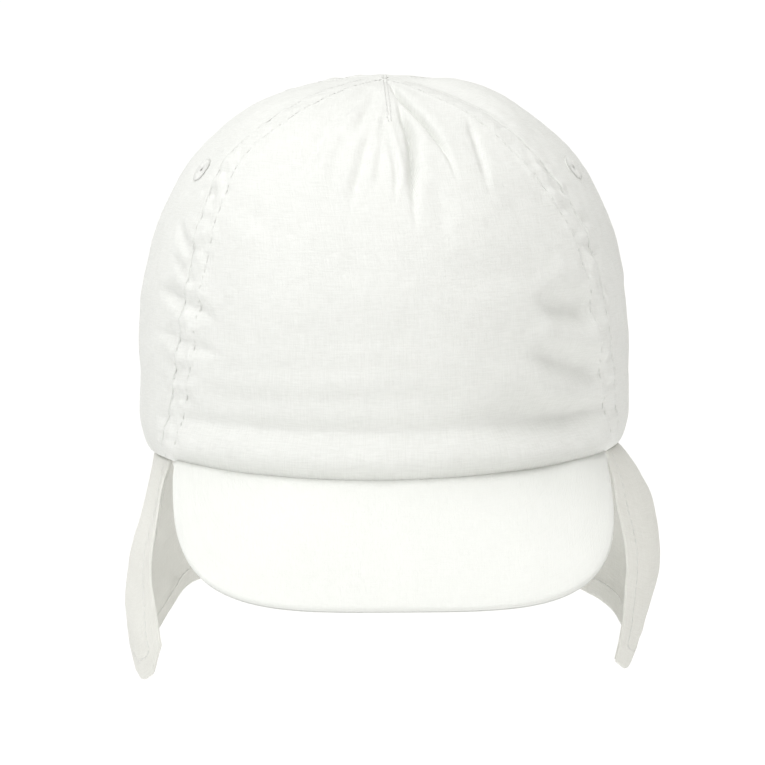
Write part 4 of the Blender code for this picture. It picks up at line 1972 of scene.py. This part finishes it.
@dataclass(frozen=True)
class FlapForm:
    """The flap's outer face.

    Places across run from 0 at the left front edge, round the back, to 1 at the right one. Places
    up run from 0 at the hem to 1 at the crown's seam.

    Attributes:
        start: the azimuth of its left front edge, in degrees.
        full_drop: its usual length from seam to hem.
        flare: how far out its stations' shares are counted.
        below_crown: how far below the crown's seam it starts.
        bottom_hem: the depth of the hem along the bottom.
        front_hem: the depth of the hem along each front edge.
        bottom_row: how far from the bottom edge the stitches run.
        front_row: how far from a front edge they run.
        hem_rise: how far the hem's doubled cloth stands out.
        row_dent: how deep the stitches pull the cloth in.
        row_width: how far that dent reaches.
        pitch: the distance between needle holes.
        cloth: the flap's thickness.
        hem_cloth: the hem's thickness.
        hem_before: how far before the hem's end it starts to thin.
        hem_after: how far past that end it has thinned.
        slack: the cloth's broad unevenness.
        crumple: the cloth's fine unevenness.
        steps: how far aside its tangents are taken.
    """

    rim: Rim = field(default_factory=Rim)
    start: float = 67.5
    full_drop: float = 0.0680
    flare: float = 0.0130
    below_crown: float = 0.0003
    bottom_hem: float = 0.0068
    front_hem: float = 0.0050
    bottom_row: float = 0.0060
    front_row: float = 0.0042
    hem_rise: float = 0.00025
    row_dent: float = 0.00005
    row_width: float = 0.0009
    pitch: float = 0.0030
    cloth: float = 0.0009
    hem_cloth: float = 0.0014
    hem_before: float = 0.0008
    hem_after: float = 0.0024
    slack: Ripple = Ripple(seed=71, height=0.00045, shortest=0.022, longest=0.060, count=14)
    crumple: Ripple = Ripple(seed=72, height=0.00006, shortest=0.006, longest=0.014, count=16)
    steps: tuple[float, float] = (0.002, 0.01)

    @property
    def turn(self) -> float:
        """How many degrees the flap runs round the head."""
        return 360 - 2 * self.start

    @property
    def run(self) -> float:
        """The flap's length from front edge to front edge, in metres."""
        return math.radians(self.turn) * (self.rim.half_width + self.rim.back) / 2

    def value(self, across: Numbers, column: str) -> Numbers:
        """One column of the stations' table at each place across."""
        return read_column(FLAP_STATIONS, across, "share", column)

    def drop(self, across: Numbers) -> Numbers:
        """The flap's length from seam to hem at each place across."""
        return self.full_drop * self.value(across, "drop")

    def smooth(self, across: Numbers, up: Numbers) -> Numbers:
        """Points of the hanging form, without its sewing and small folds.

        Args:
            across: the places across the flap.
            up: the places up to the seam.

        Returns:
            The points, one row each.
        """
        down = 1 - up
        azimuth = self.start + self.turn * across
        bulge = self.flare * self.value(across, "bulge")
        bulge_at = self.value(across, "bulge_at")
        hem = self.flare * self.value(across, "hem")
        hump = np.sin(math.pi * np.maximum(down, 0) ** (math.log(0.5) / np.log(bulge_at)))
        out = hem * down + (bulge - hem * bulge_at) * hump
        rim = self.rim.point(azimuth)
        place = rim + self.rim.outward(azimuth) * out[:, None]
        place[:, 2] = rim[:, 2] - self.below_crown - self.drop(across) * down
        return place

    def normal(self, across: Numbers, up: Numbers) -> Numbers:
        """The direction out of the flap at each pair of places."""
        return surface_normal(self.smooth, across, up, self.steps)

    def from_edges(self, across: Numbers, up: Numbers) -> tuple[Numbers, Numbers]:
        """How far each place lies from the hem and from the nearer front edge, in metres."""
        return up * self.drop(across), np.minimum(across, 1 - across) * self.run

    def hem_share(self, across: Numbers, up: Numbers) -> Numbers:
        """Where the cloth is turned under as a hem.

        Args:
            across: the places across the flap.
            up: the places up to the seam.

        Returns:
            1 at each place on the hem and 0 away from it, with a soft step between.
        """
        bottom, front = self.from_edges(across, up)
        under = 1 - ease(bottom, self.bottom_hem - self.hem_before, self.bottom_hem + self.hem_after)
        ahead = 1 - ease(front, self.front_hem - self.hem_before, self.front_hem + self.hem_after)
        return np.maximum(under, ahead)

    def relief(self, across: Numbers, up: Numbers) -> Numbers:
        """How far the cloth stands off the hanging form.

        Args:
            across: the places across the flap.
            up: the places up to the seam.

        Returns:
            The move of each place outwards, in metres.
        """
        bottom, front = self.from_edges(across, up)
        smooth = self.smooth(across, up)
        loose = 1 - 0.85 * ease(up, 0.75, 1.0)
        total = self.slack.over(smooth) * loose + self.crumple.over(smooth)
        total += self.hem_rise * self.hem_share(across, up)
        corner = np.minimum(bottom - self.bottom_row, front - self.front_row)
        needles = 0.7 + 0.3 * np.cos(2 * math.pi * (bottom + across * self.run) / self.pitch)
        total -= bell(corner, self.row_width) * self.row_dent * needles
        return total - self.hem_cloth / 2 * (1 - self.fold(across, up))

    def fold(self, across: Numbers, up: Numbers) -> Numbers:
        """The share of the hem's thickness that is left where the cloth folds over."""
        bottom, front = self.from_edges(across, up)
        return nose(bottom, self.hem_cloth / 2) * nose(front, self.hem_cloth / 2)

    def point(self, across: Numbers, up: Numbers) -> Numbers:
        """Points of the outer face."""
        return self.smooth(across, up) + self.normal(across, up) * self.relief(across, up)[:, None]


@dataclass(frozen=True)
class FlapLining:
    """The flap's inner face, which carries the back of the stitches."""

    form: FlapForm

    def normal(self, across: Numbers, up: Numbers) -> Numbers:
        """The direction out of the inner face at each pair of places."""
        return -self.form.normal(across, up)

    def point(self, across: Numbers, up: Numbers) -> Numbers:
        """Points of the inner face.

        Args:
            across: the places across the flap.
            up: the places up to the seam.

        Returns:
            The points, one row each.
        """
        hem = self.form.hem_share(across, up)
        thickness = self.form.cloth + (self.form.hem_cloth - self.form.cloth) * hem
        return self.form.point(across, up) + self.normal(across, up) * thickness[:, None]


@dataclass
class NeckFlap:
    """The neck flap with its turned hem along the bottom and both front edges."""

    form: FlapForm = field(default_factory=FlapForm)
    column_step: float = 0.00095
    row_step: float = 0.00090
    flat_size: tuple[float, float] = (0.345, 0.072)

    def build(self, wardrobe: Wardrobe) -> None:
        """Makes the flap and its hem stitching.

        Args:
            wardrobe: the finishes.
        """
        form = self.form

        def flat(across: Numbers, up: Numbers) -> Numbers:
            """The place on the flat cut flap, in metres."""
            return np.column_stack([across * form.run, up * form.drop(across)])

        columns = steps_from_fold(form.run, self.column_step, both=True)
        rows = steps_from_fold(form.full_drop, self.row_step)
        sheet = ClothSheet("neck_flap_cloth", columns, rows, form.point, flat)
        # The flap's cotton carries painted warm shade.
        made = sheet.lay(wardrobe.flap_cotton)
        usual = form.cloth / form.hem_cloth
        shares = usual + (1 - usual) * form.hem_share(sheet.across, sheet.up)
        thicken(made, form.hem_cloth, Wall.INWARD, shares * form.fold(sheet.across, sheet.up))
        place_piece(made, Slot.COTTON, ["neck_flap"])
        row = [self.stitch_row()]
        fine = Topstitching(width=0.00036, height=0.00024, lift=0.00003, seed=81)
        fine.sew("flap_hem_stitching", row, form, wardrobe.thread)
        fine.sew("flap_hem_stitching_inside", row, FlapLining(form), wardrobe.thread)

    def stitch_row(self) -> StitchRow:
        """The one row of the hem.

        Returns:
            The row down a front edge, along the bottom and up the other front edge.
        """
        form = self.form
        side = form.front_row / form.run
        low = form.bottom_row / form.full_drop
        down = np.linspace(0.985, low, 80)
        along = np.linspace(side, 1 - side, 500)
        across = np.concatenate([np.full(80, side), along, np.full(80, 1 - side)])
        hem_row = form.bottom_row / form.drop(along)
        up = np.concatenate([down, hem_row, down[::-1]])
        steps = np.linalg.norm(np.diff(form.smooth(across, up), axis=0), axis=1)
        return StitchRow(across, up, np.concatenate([[0], np.cumsum(steps)]), form.pitch)


@dataclass
class Studio:
    """The camera at the photo's angle, a soft white studio and its pale floor."""

    azimuth: float = -2.0
    elevation: float = 6.0
    distance: float = 1.15
    target: tuple[float, float, float] = (-0.0006, 0.0, 0.0183)
    lens: float = 174.6
    floor_height: float = -0.25
    floor_size: float = 500.0
    sky: tuple[float, float, float] = (1.0, 0.985, 0.945)
    sky_strength: float = 0.33
    overhead_strength: float = 2.43
    overhead_width: float = 70.0
    overhead_place: tuple[float, float, float] = (-0.20, -0.25, 1.0)
    key_colour: tuple[float, float, float] = (0.965, 0.995, 1.0)
    key_power: float = 9.9
    key_size: float = 1.4
    key_place: tuple[float, float, float] = (-1.6, -1.9, 1.2)
    fill_colour: tuple[float, float, float] = (1.0, 0.978, 0.93)
    fill_power: float = 3.7
    fill_place: tuple[float, float, float] = (1.4, -1.2, 0.2)

    def build(self) -> None:
        """Makes the camera, the lights and the floor."""
        bpy.context.scene.view_settings.view_transform = "Standard"
        self.place_camera()
        self.light_sky()
        self.hang_overhead()
        self.place_light("key_light", self.key_place, self.key_power, self.key_colour)
        self.place_light("fill_light", self.fill_place, self.fill_power, self.fill_colour)
        self.lay_floor()

    def place_camera(self) -> None:
        """Sets the camera up."""
        turn, lift = math.radians(self.azimuth), math.radians(self.elevation)
        level = Vector((math.sin(turn), -math.cos(turn), 0)) * math.cos(lift)
        back = level + Vector((0, 0, math.sin(lift)))
        data = bpy.data.cameras.new("photo_camera")
        data.lens = self.lens
        camera = bpy.data.objects.new("photo_camera", data)
        camera.location = Vector(self.target) + back * self.distance
        camera.rotation_euler = (-back).to_track_quat("-Z", "Y").to_euler()
        bpy.context.scene.collection.objects.link(camera)
        bpy.context.scene.camera = camera

    def light_sky(self) -> None:
        """Sets the even light from all round."""
        world = bpy.data.worlds.new("studio_light")
        world.use_nodes = True
        background = world.node_tree.nodes["Background"]
        background.inputs["Color"].default_value = (*self.sky, 1.0)
        background.inputs["Strength"].default_value = self.sky_strength
        bpy.context.scene.world = world

    def hang_overhead(self) -> None:
        """Hangs the wide soft light over the cap and the whole floor."""
        data = bpy.data.lights.new("overhead_light", "SUN")
        data.energy = self.overhead_strength
        data.angle = math.radians(self.overhead_width)
        self.hang(data, self.overhead_place)

    def place_light(
        self, name: str, place: tuple[float, ...], power: float, colour: tuple[float, ...]
    ) -> None:
        """Hangs a soft square light that faces the cap.

        Args:
            name: the light's name.
            place: where it hangs, in metres.
            power: its power, in watts.
            colour: its colour.
        """
        data = bpy.data.lights.new(name, "AREA")
        data.shape = "SQUARE"
        data.size = self.key_size
        data.energy = power
        data.color = colour
        self.hang(data, place)

    def hang(self, data: bpy.types.Light, place: tuple[float, ...]) -> None:
        """Hangs a light so that it faces the cap.

        Args:
            data: the light.
            place: where it hangs, in metres.
        """
        light = bpy.data.objects.new(data.name, data)
        light.location = place
        light.rotation_euler = (-Vector(place)).to_track_quat("-Z", "Y").to_euler()
        bpy.context.scene.collection.objects.link(light)

    def lay_floor(self) -> None:
        """Lays the floor."""
        grid = bmesh.new()
        bmesh.ops.create_grid(grid, x_segments=1, y_segments=1, size=self.floor_size / 2)
        bmesh.ops.translate(grid, verts=grid.verts, vec=(0, 0, self.floor_height))
        name = "studio_floor"
        link_mesh(name, to_mesh(name, grid), FloorFinish().make())


def main() -> None:
    """Builds the cap's pieces in order, then the studio."""
    logging.basicConfig(level=logging.INFO, format="%(name)s: %(message)s")
    wardrobe = Wardrobe.make()
    for part in (Crown(), Peak(), NeckFlap()):
        part.build(wardrobe)
        log.info("%s built", type(part).__name__)
    Studio().build()


if __name__ == "__main__":
    main()
